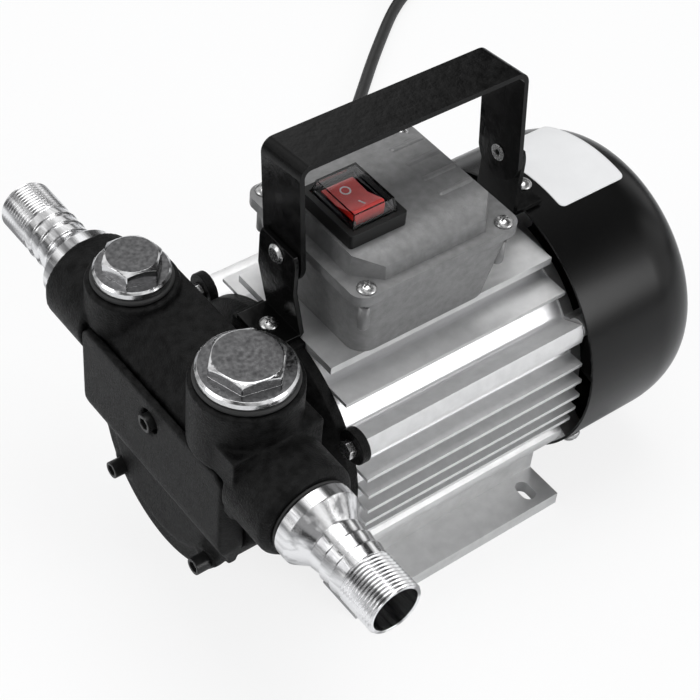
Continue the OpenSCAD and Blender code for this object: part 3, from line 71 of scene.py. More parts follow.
level = math.cos(ELEVATION)
back = Vector((math.sin(AZIMUTH) * level, -math.cos(AZIMUTH) * level, math.sin(ELEVATION)))
right = Vector((math.cos(AZIMUTH), math.sin(AZIMUTH), 0))
up = back.cross(right)
turned_right = math.cos(ROLL) * right - math.sin(ROLL) * up
turned_up = math.sin(ROLL) * right + math.cos(ROLL) * up

camera = bpy.data.objects.new("camera", bpy.data.cameras.new("camera"))
bpy.context.scene.collection.objects.link(camera)
camera.data.sensor_width, camera.data.lens = SENSOR, LENS
camera.data.clip_start, camera.data.clip_end = CLIP_NEAR, CLIP_FAR
camera.matrix_world = Matrix((
    (turned_right.x, turned_up.x, back.x, CAMERA_AT.x),
    (turned_right.y, turned_up.y, back.y, CAMERA_AT.y),
    (turned_right.z, turned_up.z, back.z, CAMERA_AT.z),
    (0, 0, 0, 1),
))
bpy.context.scene.camera = camera
print("camera at", tuple(round(v, 3) for v in camera.location), "lens", LENS)

# %% [markdown]
# ## The lead
# The mains lead is one length of rubber cable, 7.6 mm thick. It leaves its gland behind the
# switch box, drops behind the motor, runs over the floor, and its spare length is wound flat
# beside its plug. A mesh tube would do, but a curve with a round bevel says the same with few
# points, and its own line is the cable's centre. The points repeat the ones of the solid.
# The bevel is one metre and each point's radius scales it down, because a curve's box grows by
# the radius of its points: with the usual radius of 1, the box would be two metres too wide.

# %% Work out the lead's centreline
LEAD_D = 7.6
LEAD_R = LEAD_D / 2
EXIT = Vector((9.0, 64.618, 149.589))
WALL_LEAN = math.radians(8.02)
ROUTE = [
    (9, 74, 147.4), (9, 82, 143), (9, 89, 136), (10, 93, 127), (10, 94, 114), (11, 94, 98),
    (12, 94, 82), (14, 95, 66), (17, 97, 51), (22, 100, 37), (28, 105, 25), (37, 112, 15),
    (49, 122, 8), (62, 134, 5), (78, 149, 4.2), (96, 166, 4.2), (115, 183, 4.2), (136, 202, 4.2),
    (158, 223, 4.2), (181, 243, 4.2), (203, 262, 4.2), (225, 280, 4.2), (243, 294, 4.2),
    (258, 304, 4.2), (271, 311, 4.2),
]
COIL_MIDDLE = (287, 366)
COIL_IN, COIL_STEP, COIL_TURNS, FLOOR_Z, TAIL = 35, LEAD_D + 0.6, 2.25, 4.2, 46
RINGS = 48


def coil_point(t):
    """The coil's line, t turns from the place where it turns back and climbs a layer."""
    angle = math.radians(-90 + 360 * (t + COIL_TURNS))
    r = COIL_IN + COIL_STEP * abs(t)
    climb = 0 if t < -0.25 else 1 if t > 0.25 else (1 + math.sin(2 * math.pi * t)) / 2
    x, y = COIL_MIDDLE[0] + r * math.cos(angle), COIL_MIDDLE[1] + r * math.sin(angle)
    return Vector((x, y, FLOOR_Z + COIL_STEP * climb))


def smooth(points, n):
    """A soft curve through given points, in n steps a span."""
    out = []
    last = len(points) - 1
    for i in range(last):
        a, b, c, d = points[max(i - 1, 0)], points[i], points[i + 1], points[min(i + 2, last)]
        for k in range(n):
            t = k / n
            bend, turn = 2 * a - 5 * b + 4 * c - d, 3 * b - a - 3 * c + d
            out.append(0.5 * (2 * b + t * (c - a) + t * t * bend + t ** 3 * turn))
    return out + [points[last]]


coil = [coil_point(i / RINGS - COIL_TURNS) for i in range(int(2 * COIL_TURNS * RINGS) + 1)]
along_x = Vector((1, 0, 0))
lead_in = EXIT + LEAD_R * Vector((0, math.cos(WALL_LEAN), -math.sin(WALL_LEAN)))
knots = [lead_in] + [Vector(p) for p in ROUTE] + [coil[0] - 4 * LEAD_R * along_x]
lead_line = [EXIT] + smooth(knots, 4) + [coil[0] - 2 * LEAD_R * along_x] + coil
lead_line += [coil[-1] - 2 * LEAD_R * along_x, coil[-1] - TAIL * along_x]

# %% Make the lead
curve = bpy.data.curves.new("lead", "CURVE")
curve.dimensions = "3D"
curve.bevel_depth, curve.bevel_resolution = 1.0, 5
curve.use_fill_caps = True
spline = curve.splines.new("POLY")
spline.points.add(len(lead_line) - 1)
for point, place in zip(spline.points, lead_line):
    point.co = (*(place * MM), 1)
    point.radius = LEAD_R * MM
spline.use_smooth = True
lead = bpy.data.objects.new("lead", curve)
bpy.context.scene.collection.objects.link(lead)
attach(lead, "pump_set")
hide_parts("cord", "cord_coil")

# %% [markdown]
# ## Shared effects
# Three effects come back in most of the finishes, so each is a node group with named sockets.
# *Mottle* is a soft cloud that shifts a colour a little, *grain* gives the tiny hills of cast
# or moulded skins, and *streaks* gives the fine lines that a tool or a die leaves along one
# direction. The groups put out values only: the shader itself stays in each material.


# %% Helpers that wire nodes
FLOAT = "NodeSocketFloat"
MM_IN_M = 1000.0


def node(tree, kind, ins=None, **settings):
    """A new node with its settings, and its inputs set or linked by name or number."""
    made = tree.nodes.new(kind)
    for name, value in settings.items():
        setattr(made, name, value)
    for name, value in (ins or {}).items():
        if isinstance(value, bpy.types.NodeSocket):
            tree.links.new(value, made.inputs[name])
        else:
            made.inputs[name].default_value = value
    return made


def new_group(name, inputs, outputs):
    """A shader node group with float inputs and outputs, and its two end nodes."""
    tree = bpy.data.node_groups.new(name, "ShaderNodeTree")
    for label, value in inputs:
        socket = tree.interface.new_socket(name=label, in_out="INPUT", socket_type=FLOAT)
        socket.default_value = value
    for label in outputs:
        tree.interface.new_socket(name=label, in_out="OUTPUT", socket_type=FLOAT)
    return tree, tree.nodes.new("NodeGroupInput"), tree.nodes.new("NodeGroupOutput")


def per_metre(tree, size_mm):
    """The texture scale that gives features of a size in millimetres, from a socket."""
    return node(tree, "ShaderNodeMath", {0: MM_IN_M, 1: size_mm}, operation="DIVIDE").outputs[0]


# %% Mottle: soft clouds
mottle, given, out = new_group("mottle", [("Size mm", 8.0), ("Contrast", 1.0)], ["Value"])
place = node(mottle, "ShaderNodeTexCoord")
scale = per_metre(mottle, given.outputs["Size mm"])
cloud = node(mottle, "ShaderNodeTexNoise", {"Vector": place.outputs["Object"], "Scale": scale})
cloud.inputs["Detail"].default_value = 4.0
spread = node(mottle, "ShaderNodeMath", {0: cloud.outputs["Fac"], 1: 0.5}, operation="SUBTRACT")
swing = node(mottle, "ShaderNodeMath", {0: spread.outputs[0], 1: given.outputs["Contrast"], 2: 0.5})
swing.operation, swing.use_clamp = "MULTIPLY_ADD", True
mottle.links.new(swing.outputs[0], out.inputs["Value"])

# %% Grain: the hills of a cast or moulded skin
grain, given, out = new_group("grain", [("Size mm", 0.8)], ["Height"])
place = node(grain, "ShaderNodeTexCoord")
scale = per_metre(grain, given.outputs["Size mm"])
hills = node(grain, "ShaderNodeTexNoise", {"Vector": place.outputs["Object"], "Scale": scale})
hills.inputs["Detail"].default_value, hills.inputs["Roughness"].default_value = 3.0, 0.6
grain.links.new(hills.outputs["Fac"], out.inputs["Height"])

# %% Streaks: fine lines along the shaft, across it, or round it
ALONG = ("Along X", "Along Y", "Along Z")
STREAK_INPUTS = [("Size mm", 0.5), *zip(ALONG, (0.02, 1.0, 1.0))]
streaks, given, out = new_group("streaks", STREAK_INPUTS, ["Value"])
place = node(streaks, "ShaderNodeTexCoord")
way = node(streaks, "ShaderNodeCombineXYZ", {i: given.outputs[label] for i, label in enumerate(ALONG)})
drawn = node(streaks, "ShaderNodeVectorMath", {0: place.outputs["Object"], 1: way.outputs[0]})
drawn.operation = "MULTIPLY"
scale = per_metre(streaks, given.outputs["Size mm"])
lines = node(streaks, "ShaderNodeTexNoise", {"Vector": drawn.outputs[0], "Scale": scale})
lines.inputs["Detail"].default_value = 3.0
streaks.links.new(lines.outputs["Fac"], out.inputs["Value"])
print("groups:", [g.name for g in bpy.data.node_groups])

# %% [markdown]
# ## Finishes
# Nearly every finish on the pump is one recipe with other values: two close colours mixed by
# the mottle, a roughness that wanders between two limits, and a bump from grain or streaks.
# A function takes those values, so each finish below reads like a line in a paint shop's book.
# What is the same all over, such as the metallic value, is set on the shader's own socket.


# %% The recipe
NOISE_SPAN = (0.3, 0.7)


def ramp(tree, value, span, to=(0.0, 1.0)):
    """A value's span stretched to other limits, and held there."""
    made = node(tree, "ShaderNodeMapRange", {"Value": value, "From Min": span[0], "From Max": span[1]})
    made.inputs["To Min"].default_value, made.inputs["To Max"].default_value = to
    return made.outputs[0]


def finish(name, dark, light, rough, metallic=0.0, mottle_mm=9.0, contrast=1.6, grain_mm=0.8,
           bump=0.1, bump_mm=0.1, lines=None, **extra):
    """A finish between two colours and two roughness limits, with grain or streaks as its bump."""
    material = bpy.data.materials.new(name)
    material.use_nodes = True
    tree = material.node_tree
    shader = tree.nodes["Principled BSDF"]
    shader.inputs["Metallic"].default_value = metallic
    for socket, value in extra.items():
        shader.inputs[socket.replace("_", " ")].default_value = value
    cloud = node(tree, "ShaderNodeGroup", node_tree=mottle)
    cloud.inputs["Size mm"].default_value = mottle_mm
    cloud.inputs["Contrast"].default_value = contrast
    colour = node(tree, "ShaderNodeMix", data_type="RGBA")
    colour.inputs[6].default_value, colour.inputs[7].default_value = (*dark, 1), (*light, 1)
    tree.links.new(cloud.outputs["Value"], colour.inputs[0])
    tree.links.new(colour.outputs[2], shader.inputs["Base Color"])
    if lines:
        texture = node(tree, "ShaderNodeGroup", node_tree=streaks)
        for label, value in zip(("Size mm", *ALONG), lines):
            texture.inputs[label].default_value = value
        height = texture.outputs["Value"]
    else:
        texture = node(tree, "ShaderNodeGroup", node_tree=grain)
        texture.inputs["Size mm"].default_value = grain_mm
        height = texture.outputs["Height"]
    shine = ramp(tree, height, NOISE_SPAN, rough)
    tree.links.new(shine, shader.inputs["Roughness"])
    relief = node(tree, "ShaderNodeBump", {"Height": height, "Strength": bump})
    relief.inputs["Distance"].default_value = bump_mm * MM
    tree.links.new(relief.outputs[0], shader.inputs["Normal"])
    return material


def grey(v, tint=0.0):
    return (v, v, v * (1 + tint))


# %% Paints, metals, rubber and plastics
FINISHES = {
    "shield_alloy": finish(
        "die_cast_alloy", grey(0.45), grey(0.62), (0.3, 0.5), 0.9, grain_mm=1.2, bump=0.3),
    "black_casting": finish(
        "sand_cast_black", grey(0.001), grey(0.009), (0.34, 0.56), mottle_mm=4, contrast=3.2,
        grain_mm=0.9, bump=1.0, bump_mm=0.5, Specular_IOR_Level=0.1),
    "cover_black": finish(
        "satin_black_sheet", grey(0.003), grey(0.005), (0.2, 0.28), mottle_mm=30, grain_mm=0.5,
        bump=0.08, bump_mm=0.05, Specular_IOR_Level=0.22),
    "plated_steel": finish(
        "bright_zinc_plate", grey(0.26, 0.02), grey(0.86, 0.01), (0.12, 0.26), 1.0,
        lines=(0.35, 1.0, 0.03, 1.0), bump=0.2, bump_mm=0.04),
    "screw_steel": finish(
        "zinc_plated_screws", grey(0.32), grey(0.6), (0.18, 0.34), 1.0, mottle_mm=2, bump=0.15,
        bump_mm=0.05),
    "black_oxide": finish(
        "black_oxide_steel", grey(0.015), grey(0.035), (0.28, 0.42), 0.5, mottle_mm=2, bump=0.15,
        bump_mm=0.05),
    "box_alloy": finish(
        "grey_lacquered_casting", grey(0.16), grey(0.25), (0.3, 0.5), 0.3, mottle_mm=4,
        contrast=1.6, grain_mm=0.9, bump=0.5, bump_mm=0.16, Specular_IOR_Level=0.3),
    "handle_black": finish(
        "satin_black_strip", grey(0.0015), grey(0.004), (0.12, 0.26), mottle_mm=6, grain_mm=5.0,
        bump=0.3, bump_mm=0.5, Specular_IOR_Level=0.16),
    "switch_black": finish(
        "moulded_black", grey(0.004), grey(0.008), (0.3, 0.42), grain_mm=0.4, bump=0.15,
        bump_mm=0.04, Specular_IOR_Level=0.3),
    "rocker_red": finish(
        "red_rocker", (0.42, 0.012, 0.010), (0.60, 0.03, 0.022), (0.25, 0.4), mottle_mm=3,
        grain_mm=0.3, bump_mm=0.02),
    "seal_rubber": finish(
        "seal_rubber", grey(0.012), grey(0.02), (0.55, 0.72), grain_mm=0.5, bump=0.2),
    "lead_black": finish(
        "lead_rubber", grey(0.012), grey(0.02), (0.42, 0.55), grain_mm=0.5, bump=0.2,
        bump_mm=0.05),
    "copper": finish(
        "enamelled_copper", (0.42, 0.13, 0.05), (0.62, 0.25, 0.10), (0.25, 0.4), 0.9,
        lines=(0.7, 0.05, 1, 1), bump=0.6, bump_mm=0.3),
    "core_iron": finish(
        "laminated_iron", grey(0.2), grey(0.32), (0.35, 0.5), 0.9, lines=(0.5, 1, 0.02, 0.02),
        bump=0.4),
    "shaft_steel": finish(
        "ground_steel", grey(0.5), grey(0.66), (0.16, 0.28), 1.0, mottle_mm=4,
        lines=(0.2, 1, 0.05, 0.05), bump_mm=0.02),
    "brass": finish(
        "turned_brass", (0.52, 0.34, 0.11), (0.72, 0.5, 0.2), (0.18, 0.32), 1.0, mottle_mm=3,
        bump_mm=0.02),
    "vane_plastic": finish(
        "filled_plastic", (0.06, 0.03, 0.015), (0.11, 0.06, 0.03), (0.45, 0.6), grain_mm=0.3,
        bump_mm=0.03),
    "fan_plastic": finish(
        "fan_plastic", grey(0.02), grey(0.03), (0.4, 0.55), grain_mm=0.5, bump_mm=0.03),
    "capacitor_white": finish(
        "capacitor_shell", grey(0.62), grey(0.7), (0.3, 0.4), grain_mm=0.5, bump=0.05,
        bump_mm=0.02),
    "terminal_cream": finish(
        "terminal_plastic", (0.52, 0.47, 0.32), (0.6, 0.54, 0.38), (0.35, 0.45), grain_mm=0.4,
        bump=0.05, bump_mm=0.02),
}

# %% [markdown]
# The housing is an aluminium extrusion. Its round wall between the fins was never touched
# after the die and is bright, while the fins' tops and the milled platform are duller and
# show lines along the shaft. The two can be told apart by their distance from the shaft, so
# one mask, worked out from the place of a point, mixes the two colours.

# %% The housing's aluminium
TUBE_R, WALL_BAND = 60.0, 0.3
aluminium = finish(
    "extruded_aluminium", grey(0.62), grey(0.78), (0.28, 0.46), 0.6, mottle_mm=6, contrast=1.4,
    lines=(0.6, 0.015, 1, 1), bump=0.3, bump_mm=0.08)
tree = aluminium.node_tree
shader = tree.nodes["Principled BSDF"]
plain = shader.inputs["Base Color"].links[0].from_socket
place = node(tree, "ShaderNodeTexCoord")
shaft_line = (0, 0, -AXIS_H * MM)
from_shaft = node(tree, "ShaderNodeVectorMath", {0: place.outputs["Object"], 1: shaft_line})
flat = node(tree, "ShaderNodeVectorMath", {0: from_shaft.outputs[0], 1: (0, 1, 1)})
flat.operation = "MULTIPLY"
radius = node(tree, "ShaderNodeVectorMath", {0: flat.outputs[0]}, operation="LENGTH")
near_wall = ((TUBE_R - WALL_BAND) * MM, (TUBE_R + WALL_BAND) * MM)
wall = ramp(tree, radius.outputs["Value"], near_wall, (1.0, 0.0))
two = node(tree, "ShaderNodeMix", data_type="RGBA")
two.inputs[7].default_value = (*grey(0.78, 0.01), 1)
tree.links.new(wall, two.inputs[0])
tree.links.new(plain, two.inputs[6])
tree.links.new(two.outputs[2], shader.inputs["Base Color"])
FINISHES["housing_aluminium"] = aluminium

# %% The clear cap over the rocker
FINISHES["cap_clear"] = finish(
    "clear_cap", grey(0.93, 0.02), grey(0.97, 0.01), (0.02, 0.06), mottle_mm=12, bump=0.02,
    bump_mm=0.02, IOR=1.4, Transmission_Weight=1.0)
print("finishes:", len(FINISHES))

# %% [markdown]
# Bright plate on turned parts mirrors the room in long bands, dark and light, that run with the part.
# Here these bands are painted reflection: the plate's two colours are mixed by broad streaks. On the
# two plugs the flat top of the hexagon is painted darker than its flanks, as a painted reflection.
# There, faces that lie level take the dark, cloudy colour, and the others take the bright one.


# %% Painted reflection bands in the bright plate
def colour_mix(material):
    """The node that mixes a finish's two colours."""
    return next(n for n in material.node_tree.nodes if n.bl_idname == "ShaderNodeMix")


def painted_reflection_bands(material, lines, span):
    """Mixes a finish's two colours by broad streaks, in place of the mottle: painted reflection bands.
    """
    tree = material.node_tree
    reflection_streaks = node(tree, "ShaderNodeGroup", node_tree=streaks)
    for label, value in zip(("Size mm", *ALONG), lines):
        reflection_streaks.inputs[label].default_value = value
    tree.links.new(ramp(tree, reflection_streaks.outputs["Value"], span), colour_mix(material).inputs[0])


# Painted reflection: dark and light bands of the room, laid into the colour along the plated turned
# parts.
painted_reflection_bands(FINISHES["plated_steel"], (7.0, 1.0, 0.12, 1.0), (0.40, 0.56))
# Plug plate with a painted reflection: level faces darker and flanks brighter, by the way each face
# turns.
plug_plate_painted_reflection = finish(
    "plated_plug_painted_reflection", grey(0.05, 0.04), grey(0.70, 0.01), (0.1, 0.24), 1.0, mottle_mm=2,
    grain_mm=1.5, bump=0.12, bump_mm=0.05)
tree = plug_plate_painted_reflection.node_tree
LEVEL_SPAN, TOP_REFLECTION_SHARE = (0.96, 0.995), 0.14
CLOUD_SHARE, CLOUD_OFFSET = 0.22, 0.15
# Painted reflection mask: faces that lie level take the dark, cloudy colour, and the others take the
# bright one.
facing = node(tree, "ShaderNodeNewGeometry")
upward = node(tree, "ShaderNodeSeparateXYZ", {0: facing.outputs["Normal"]})
level = ramp(tree, upward.outputs["Z"], LEVEL_SPAN, (1.0, TOP_REFLECTION_SHARE))
cloudy = colour_mix(plug_plate_painted_reflection).inputs[0].links[0].from_socket
share = node(tree, "ShaderNodeMath", {0: cloudy, 1: CLOUD_SHARE, 2: level})
share.operation = "MULTIPLY_ADD"
minus = node(tree, "ShaderNodeMath", {0: share.outputs[0], 1: CLOUD_OFFSET})
minus.operation, minus.use_clamp = "SUBTRACT", True
tree.links.new(minus.outputs[0], colour_mix(plug_plate_painted_reflection).inputs[0])

# %% Give every node its slot's finish
PLUGS = ("filter_plug", "valve_plug")
SLOT_OF = {s["node"]: s["material_slot"] for s in frame["record"]["subparts"]}
for name, piece in NODES.items():
    piece.data.materials.clear()
    piece.data.materials.append(FINISHES[SLOT_OF[name]])
lead.data.materials.append(FINISHES["lead_black"])
for name in PLUGS:
    NODES[name].data.materials[0] = plug_plate_painted_reflection

# %% [markdown]
# ## Edges
# A solid from a modeller has edges like knives, and real ones catch the light because they
# are broken, moulded or cast round. The meshes may not change, but a modifier may sit on
# them: weld joins the faces' own vertices, a planar dissolve puts the triangles back into
# whole faces, and a bevel then rounds only the sharp edges. Each node gets the radius that its
# making gives: a fraction of a millimetre on sheet and machined parts, more on castings.


# %% Soften the edges of the nodes that show
WELD_AT = 2e-6
FLAT_WITHIN, SHARP_FROM = math.radians(0.4), math.radians(32)
CAST_FROM_MM = 0.8


def soften(name, width_mm):
    """Round edges on a node's own mesh, with modifiers only."""
    piece = NODES[name]
    for polygon in piece.data.polygons:
        polygon.use_smooth = True
    if "custom_normal" in piece.data.attributes:
        piece.data.attributes.remove(piece.data.attributes["custom_normal"])
    weld = piece.modifiers.new("weld", "WELD")
    weld.merge_threshold = WELD_AT
    whole = piece.modifiers.new("whole_faces", "DECIMATE")
    whole.decimate_type, whole.angle_limit = "DISSOLVE", FLAT_WITHIN
    round_off = piece.modifiers.new("round_edges", "BEVEL")
    round_off.width, round_off.segments = width_mm * MM, 3 if width_mm > CAST_FROM_MM else 2
    round_off.limit_method, round_off.angle_limit = "ANGLE", SHARP_FROM
    shade = piece.modifiers.new("even_shading", "WEIGHTED_NORMAL")
    shade.weight = 100


SOFT_EDGES = {
    0.25: [
        "motor_housing", "hose_tail_front", "hose_tail_rear", "lid_screws", "cover_screws",
        "bracket_screws", "handle_rivets", "tie_bolts",
    ],
    0.35: [
        "fan_cover", "handle", "bracket_front", "bracket_rear", "filter_plug", "valve_plug",
        "pump_screws", "rocker", "plug_pins",
    ],
    0.5: [
        "switch_body", "cable_gland", "strain_relief", "filter_plug_seal", "valve_plug_seal",
        "tail_seals",
    ],
    0.3: ["box_lid"],
    0.9: ["switch_box", "rear_shield"],
    1.4: ["front_shield", "plug_body"],
}
for width, names in SOFT_EDGES.items():
    for name in names:
        soften(name, width)
print("softened:", sum(len(v) for v in SOFT_EDGES.values()), "nodes")

# %% [markdown]
# ## The sand-cast head
# The pump's body and its front cover come out of sand. All their corners are round, inside
# and outside, and a bevel would trip over the many pipes and blocks that run into each other.
# So these two are made again as skins: the solid is filled with small cubes of one size, the
# cubes' surface is smoothed, and the corners melt as they do in a mould. The bump of the
# finish adds the sand's grain.


# %% Cast skins for the two castings
CUBE_MM = 0.8
MELT_PULL, KEPT_FACES = 0.5, 0.4


def cast_skin(name, rounds):
    """A skin of small cubes over a node, melted by some rounds of smoothing."""
    mesh = NODES[name].data.copy()
    mesh.name = name + "_skin"
    piece = bpy.data.objects.new(name + "_skin", mesh)
    bpy.context.scene.collection.objects.link(piece)
    weld = piece.modifiers.new("weld", "WELD")
    weld.merge_threshold = WELD_AT
    remesh = piece.modifiers.new("sand", "REMESH")
    remesh.mode, remesh.voxel_size = "VOXEL", CUBE_MM * MM
    soft = piece.modifiers.new("melt", "SMOOTH")
    soft.factor, soft.iterations = MELT_PULL, rounds
    fewer = piece.modifiers.new("fewer_faces", "DECIMATE")
    fewer.ratio = KEPT_FACES
    shown = piece.evaluated_get(bpy.context.evaluated_depsgraph_get())
    done = bpy.data.meshes.new_from_object(shown)
    piece.modifiers.clear()
    piece.data = done
    for polygon in done.polygons:
        polygon.use_smooth = True
    done.materials.clear()
    done.materials.append(FINISHES[SLOT_OF[name]])
    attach(piece, "pump_set")
    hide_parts(name)
    print(name, "skin:", len(done.polygons), "faces")


for name, rounds in (("pump_casting", 6), ("pump_cover", 16)):
    cast_skin(name, rounds)

# %% [markdown]
# ## Screw bosses on the switch box
# The lid's four screws run close to the box's leaning corners, and a casting has a little
# more metal there: a boss round each screw that swells out of the corner lower down. Each one
# is a stack of circles round the screw, the last few of them shrinking to a domed end.


# %% Four bosses
BOSS_R, BOSS_TOP, BOSS_END = 2.8, BOX_TOP - 3, BOX_TOP - 17.5
BOSS_SIDES, BOSS_DOME = 32, 8


def add_mesh(name, places_mm, faces, material):
    """A new object from places in millimetres and faces, with its material."""
    mesh = bpy.data.meshes.new(name)
    mesh.from_pydata([[c * MM for c in place] for place in places_mm], [], faces)
    mesh.update()
    mesh.materials.append(material)
    piece = bpy.data.objects.new(name, mesh)
    bpy.context.scene.collection.objects.link(piece)
    return piece


def boss(name, x, y):
    """An upright boss with a domed lower end."""
    n = BOSS_SIDES
    levels = [(BOSS_TOP, BOSS_R)] + [
        (BOSS_END + BOSS_R - BOSS_R * math.sin(a), BOSS_R * math.cos(a))
        for a in np.linspace(0, math.pi / 2, BOSS_DOME, endpoint=False)
    ]
    verts = [
        (x + r * math.cos(2 * math.pi * i / n), y + r * math.sin(2 * math.pi * i / n), z)
        for z, r in levels for i in range(n)
    ]
    faces = [
        (k * n + i, (k + 1) * n + i, (k + 1) * n + (i + 1) % n, k * n + (i + 1) % n)
        for k in range(len(levels) - 1) for i in range(n)
    ]
    faces += [tuple(range(n)), tuple(reversed(range(len(verts) - n, len(verts))))]
    piece = add_mesh(name, verts, faces, FINISHES["box_alloy"])
    for polygon in piece.data.polygons:
        polygon.use_smooth = len(polygon.vertices) == 4
    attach(piece, "pump_set")


for side, x in (("front", BOX_X - SCREW_X), ("rear", BOX_X + SCREW_X)):
    for hand, y in (("near", -SCREW_Y), ("far", SCREW_Y)):
        boss("box_boss_" + side + "_" + hand, x, y)

# %% [markdown]
# ## The label on the fan cover
# The real cover carries a paper label. What is printed there is left out, so this is a blank
# white sheet with round corners. It could be a flat plate, but it has to follow the cover, so
# a flat grid is cut to a rounded outline first and each point is then bent onto the cylinder.


# %% Bend a blank label onto the cover
LABEL_X, LABEL_TURN = (81.5, 122), (math.radians(60), math.radians(104.5))
LABEL_R, LABEL_CORNER, LABEL_T = 74.36, 3, 0.16
LABEL_W, LABEL_ARC = LABEL_X[1] - LABEL_X[0], (LABEL_TURN[1] - LABEL_TURN[0]) * LABEL_R
STEPS_X, STEPS_ROUND = 40, 60


def label_point(across, round_it):
    """A point of the sheet, from -0.5 to 0.5 each way, drawn into the corners and bent."""
    u, v = across * LABEL_W, round_it * LABEL_ARC
    side_x, side_arc = LABEL_W / 2 - LABEL_CORNER, LABEL_ARC / 2 - LABEL_CORNER
    du, dv = abs(u) - side_x, abs(v) - side_arc
    if du > 0 and dv > 0:
        shrink = max(du, dv) / math.hypot(du, dv)
        u = math.copysign(side_x + du * shrink, u)
        v = math.copysign(side_arc + dv * shrink, v)
    turn = sum(LABEL_TURN) / 2 + v / LABEL_R
    return (sum(LABEL_X) / 2 + u, LABEL_R * math.cos(turn), AXIS_H + LABEL_R * math.sin(turn))


row = STEPS_ROUND + 1
label_places = [
    label_point(i / STEPS_X - 0.5, j / STEPS_ROUND - 0.5)
    for i in range(STEPS_X + 1) for j in range(row)
]
starts = [i * row + j for i in range(STEPS_X) for j in range(STEPS_ROUND)]
label_faces = [(a, a + row, a + row + 1, a + 1) for a in starts]
paper = finish(
    "label_paper", grey(0.78), grey(0.84), (0.3, 0.42), mottle_mm=15, grain_mm=0.3, bump=0.05,
    bump_mm=0.02)
label = add_mesh("blank_label", label_places, label_faces, paper)
for polygon in label.data.polygons:
    polygon.use_smooth = True
sheet = label.modifiers.new("thickness", "SOLIDIFY")
sheet.thickness, sheet.offset = LABEL_T * MM, 0
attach(label, "pump_set")
print("label:", LABEL_W, "mm wide, bent onto radius", LABEL_R, "mm")

# %% [markdown]
# ## The marks on the rocker
# The rocker has a ring for off at its back end and a bar for on at its front end, moulded in
# white. Text could be used, but a ring and a bar are simpler and are meshes like the rest.
# They lie in the rocker's own tilted frame and ride on it.


# %% Ring and bar
ROCKER_AT = Vector((-35.0, -5.3, 199.0))
TILT = math.radians(-9)
VALLEY, SLOPE = 3.2, math.atan2(2.2, 10.3)
MARK_PROUD, MARK_T = 0.12, 0.3
RING_R, RING_INNER_R, RING_SIDES, RING_Y = 2.5, 1.8, 40, 5.2
BAR_W, BAR_L, BAR_Y = 0.8, 4.6, -6.2
BAR_INNER = (0.2, 0.95)


def rocker_mark(name, outline, inner, along):
    """A flat mark on the rocker's sloping half, outline points in mm about its middle."""
    side = 1 if along > 0 else -1
    n = len(outline)
    ring = [Vector((x, y, MARK_PROUD)) for x, y in [*outline, *inner]]
    ring += [p - Vector((0, 0, MARK_T)) for p in ring]
    faces = []
    for i in range(n):
        j = (i + 1) % n
        faces += [(i, j, n + j, n + i), (2 * n + i, 3 * n + i, 3 * n + j, 2 * n + j),
                  (i, 2 * n + i, 2 * n + j, j), (n + i, n + j, 3 * n + j, 3 * n + i)]
    height = VALLEY + abs(along) * math.tan(SLOPE)
    spot = Matrix.Translation(ROCKER_AT) @ Matrix.Rotation(TILT, 4, "X")
    spot = spot @ Matrix.Translation((0, along, height)) @ Matrix.Rotation(side * SLOPE, 4, "X")
    piece = add_mesh(name, [spot @ p for p in ring], faces, mark_white)
    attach(piece, "rocker")


def sized(outline, across, along):
    """An outline made wider and longer by two factors."""
    return [(x * across, y * along) for x, y in outline]


mark_white = finish(
    "mark_white", grey(0.7), grey(0.8), (0.35, 0.45), mottle_mm=2, grain_mm=0.3, bump=0.05,
    bump_mm=0.02)
turns = np.linspace(0, 2 * math.pi, RING_SIDES, endpoint=False)
circle = [(math.cos(a), math.sin(a)) for a in turns]
outer, inner = (sized(circle, r, r) for r in (RING_R, RING_INNER_R))
rocker_mark("mark_off", outer, inner, RING_Y)
bar = sized([(-0.5, -0.5), (0.5, -0.5), (0.5, 0.5), (-0.5, 0.5)], BAR_W, BAR_L)
rocker_mark("mark_on", bar, sized(bar, *BAR_INNER), BAR_Y)

# %% [markdown]
# ## Floor, light and background
# A catalogue photograph has a white sheet under the object and large soft lights round it.
# The lamps are kept at a level at which a colour renders as it is written. The white of the
# background doesn't come from more light: it is put there, with the Light Path node, for the
# rays that come from the camera or go through glass.

# %% Floor
FLOOR_MM, FLOOR_GLOW = 6000.0, 0.82


def seen_plainly(tree):
    """A light path node, and 1 for rays from the camera or through glass."""
    path = node(tree, "ShaderNodeLightPath")
    rays = {0: path.outputs["Is Camera Ray"], 1: path.outputs["Is Transmission Ray"]}
    return path, node(tree, "ShaderNodeMath", rays, operation="MAXIMUM").outputs[0]


sheet = bpy.data.materials.new("white_sheet")
sheet.use_nodes = True
tree = sheet.node_tree
shader = tree.nodes["Principled BSDF"]
shader.inputs["Base Color"].default_value = (0.9, 0.9, 0.9, 1)
shader.inputs["Roughness"].default_value = 0.9
path, seen = seen_plainly(tree)
glow = node(tree, "ShaderNodeEmission", {"Color": (1, 1, 1, 1), "Strength": 1.0})
share = node(tree, "ShaderNodeMath", {0: seen, 1: FLOOR_GLOW}, operation="MULTIPLY").outputs[0]
blend = node(tree, "ShaderNodeMixShader", {0: share, 1: shader.outputs[0], 2: glow.outputs[0]})
tree.links.new(blend.outputs[0], tree.nodes["Material Output"].inputs["Surface"])
corners = [(x * FLOOR_MM, y * FLOOR_MM, 0) for x, y in ((-1, -1), (1, -1), (1, 1), (-1, 1))]
floor = add_mesh("floor", corners, [(0, 1, 2, 3)], sheet)

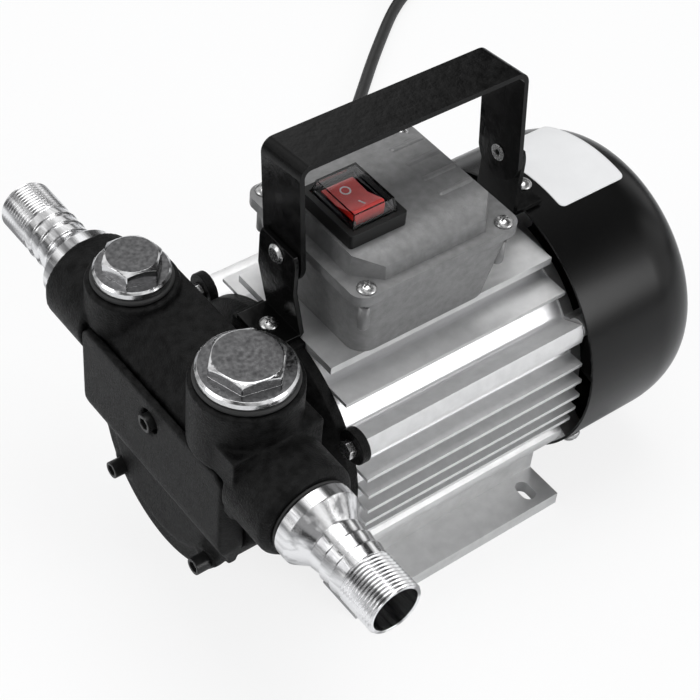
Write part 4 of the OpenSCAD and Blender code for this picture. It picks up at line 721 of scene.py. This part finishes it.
# %% [markdown]
# Polished metal shows the room, and a room that is white all round makes plate look like
# chalk. So the world that shiny faces see has dark gaps between its bright screens, made by a
# soft noise over the directions, while the light that falls on the pump stays even.

# %% World
SOFT_LIGHT = 0.42
SCREEN_SCALE, SCREEN_SPAN, SCREEN_LIGHT = 2.1, (0.43, 0.60), (0.05, 1.05)
world = bpy.data.worlds.new("studio")
bpy.context.scene.world = world
world.use_nodes = True
tree = world.node_tree
tree.nodes.clear()
path, seen = seen_plainly(tree)
soft = node(tree, "ShaderNodeBackground", {"Color": (0.95, 0.97, 1, 1)})
soft.inputs["Strength"].default_value = SOFT_LIGHT
white = node(tree, "ShaderNodeBackground", {"Color": (1, 1, 1, 1), "Strength": 1.0})
way = node(tree, "ShaderNodeTexCoord")
screens = node(tree, "ShaderNodeTexNoise", {"Vector": way.outputs["Generated"], "Detail": 1.0})
screens.inputs["Scale"].default_value = SCREEN_SCALE
gaps = ramp(tree, screens.outputs["Fac"], SCREEN_SPAN, SCREEN_LIGHT)
room = node(tree, "ShaderNodeBackground", {"Color": (1, 1, 1, 1), "Strength": gaps})
glossy = path.outputs["Is Glossy Ray"]
lit = node(tree, "ShaderNodeMixShader", {0: glossy, 1: soft.outputs[0], 2: room.outputs[0]})
mix = node(tree, "ShaderNodeMixShader", {0: seen, 1: lit.outputs[0], 2: white.outputs[0]})
tree.links.new(mix.outputs[0], node(tree, "ShaderNodeOutputWorld").inputs["Surface"])


# %% Soft lamps
AIM = Vector((0, 0, 0.08))


def lamp(name, place, size, power):
    """A round lamp in metres and watts, turned to the pump."""
    light = bpy.data.lights.new(name, "AREA")
    light.shape, light.size, light.energy = "DISK", size, power
    obj = bpy.data.objects.new(name, light)
    bpy.context.scene.collection.objects.link(obj)
    obj.location = place
    obj.rotation_mode = "QUATERNION"
    obj.rotation_quaternion = (AIM - Vector(place)).to_track_quat("-Z", "Y")


lamp("lamp_top", (0.15, 0.25, 1.6), 1.1, 13)
lamp("lamp_left", (-1.3, 0.3, 0.9), 0.8, 5)
lamp("lamp_near", (0.7, -1.4, 0.7), 0.9, 8.5)

bpy.context.scene.view_settings.view_transform = "Standard"
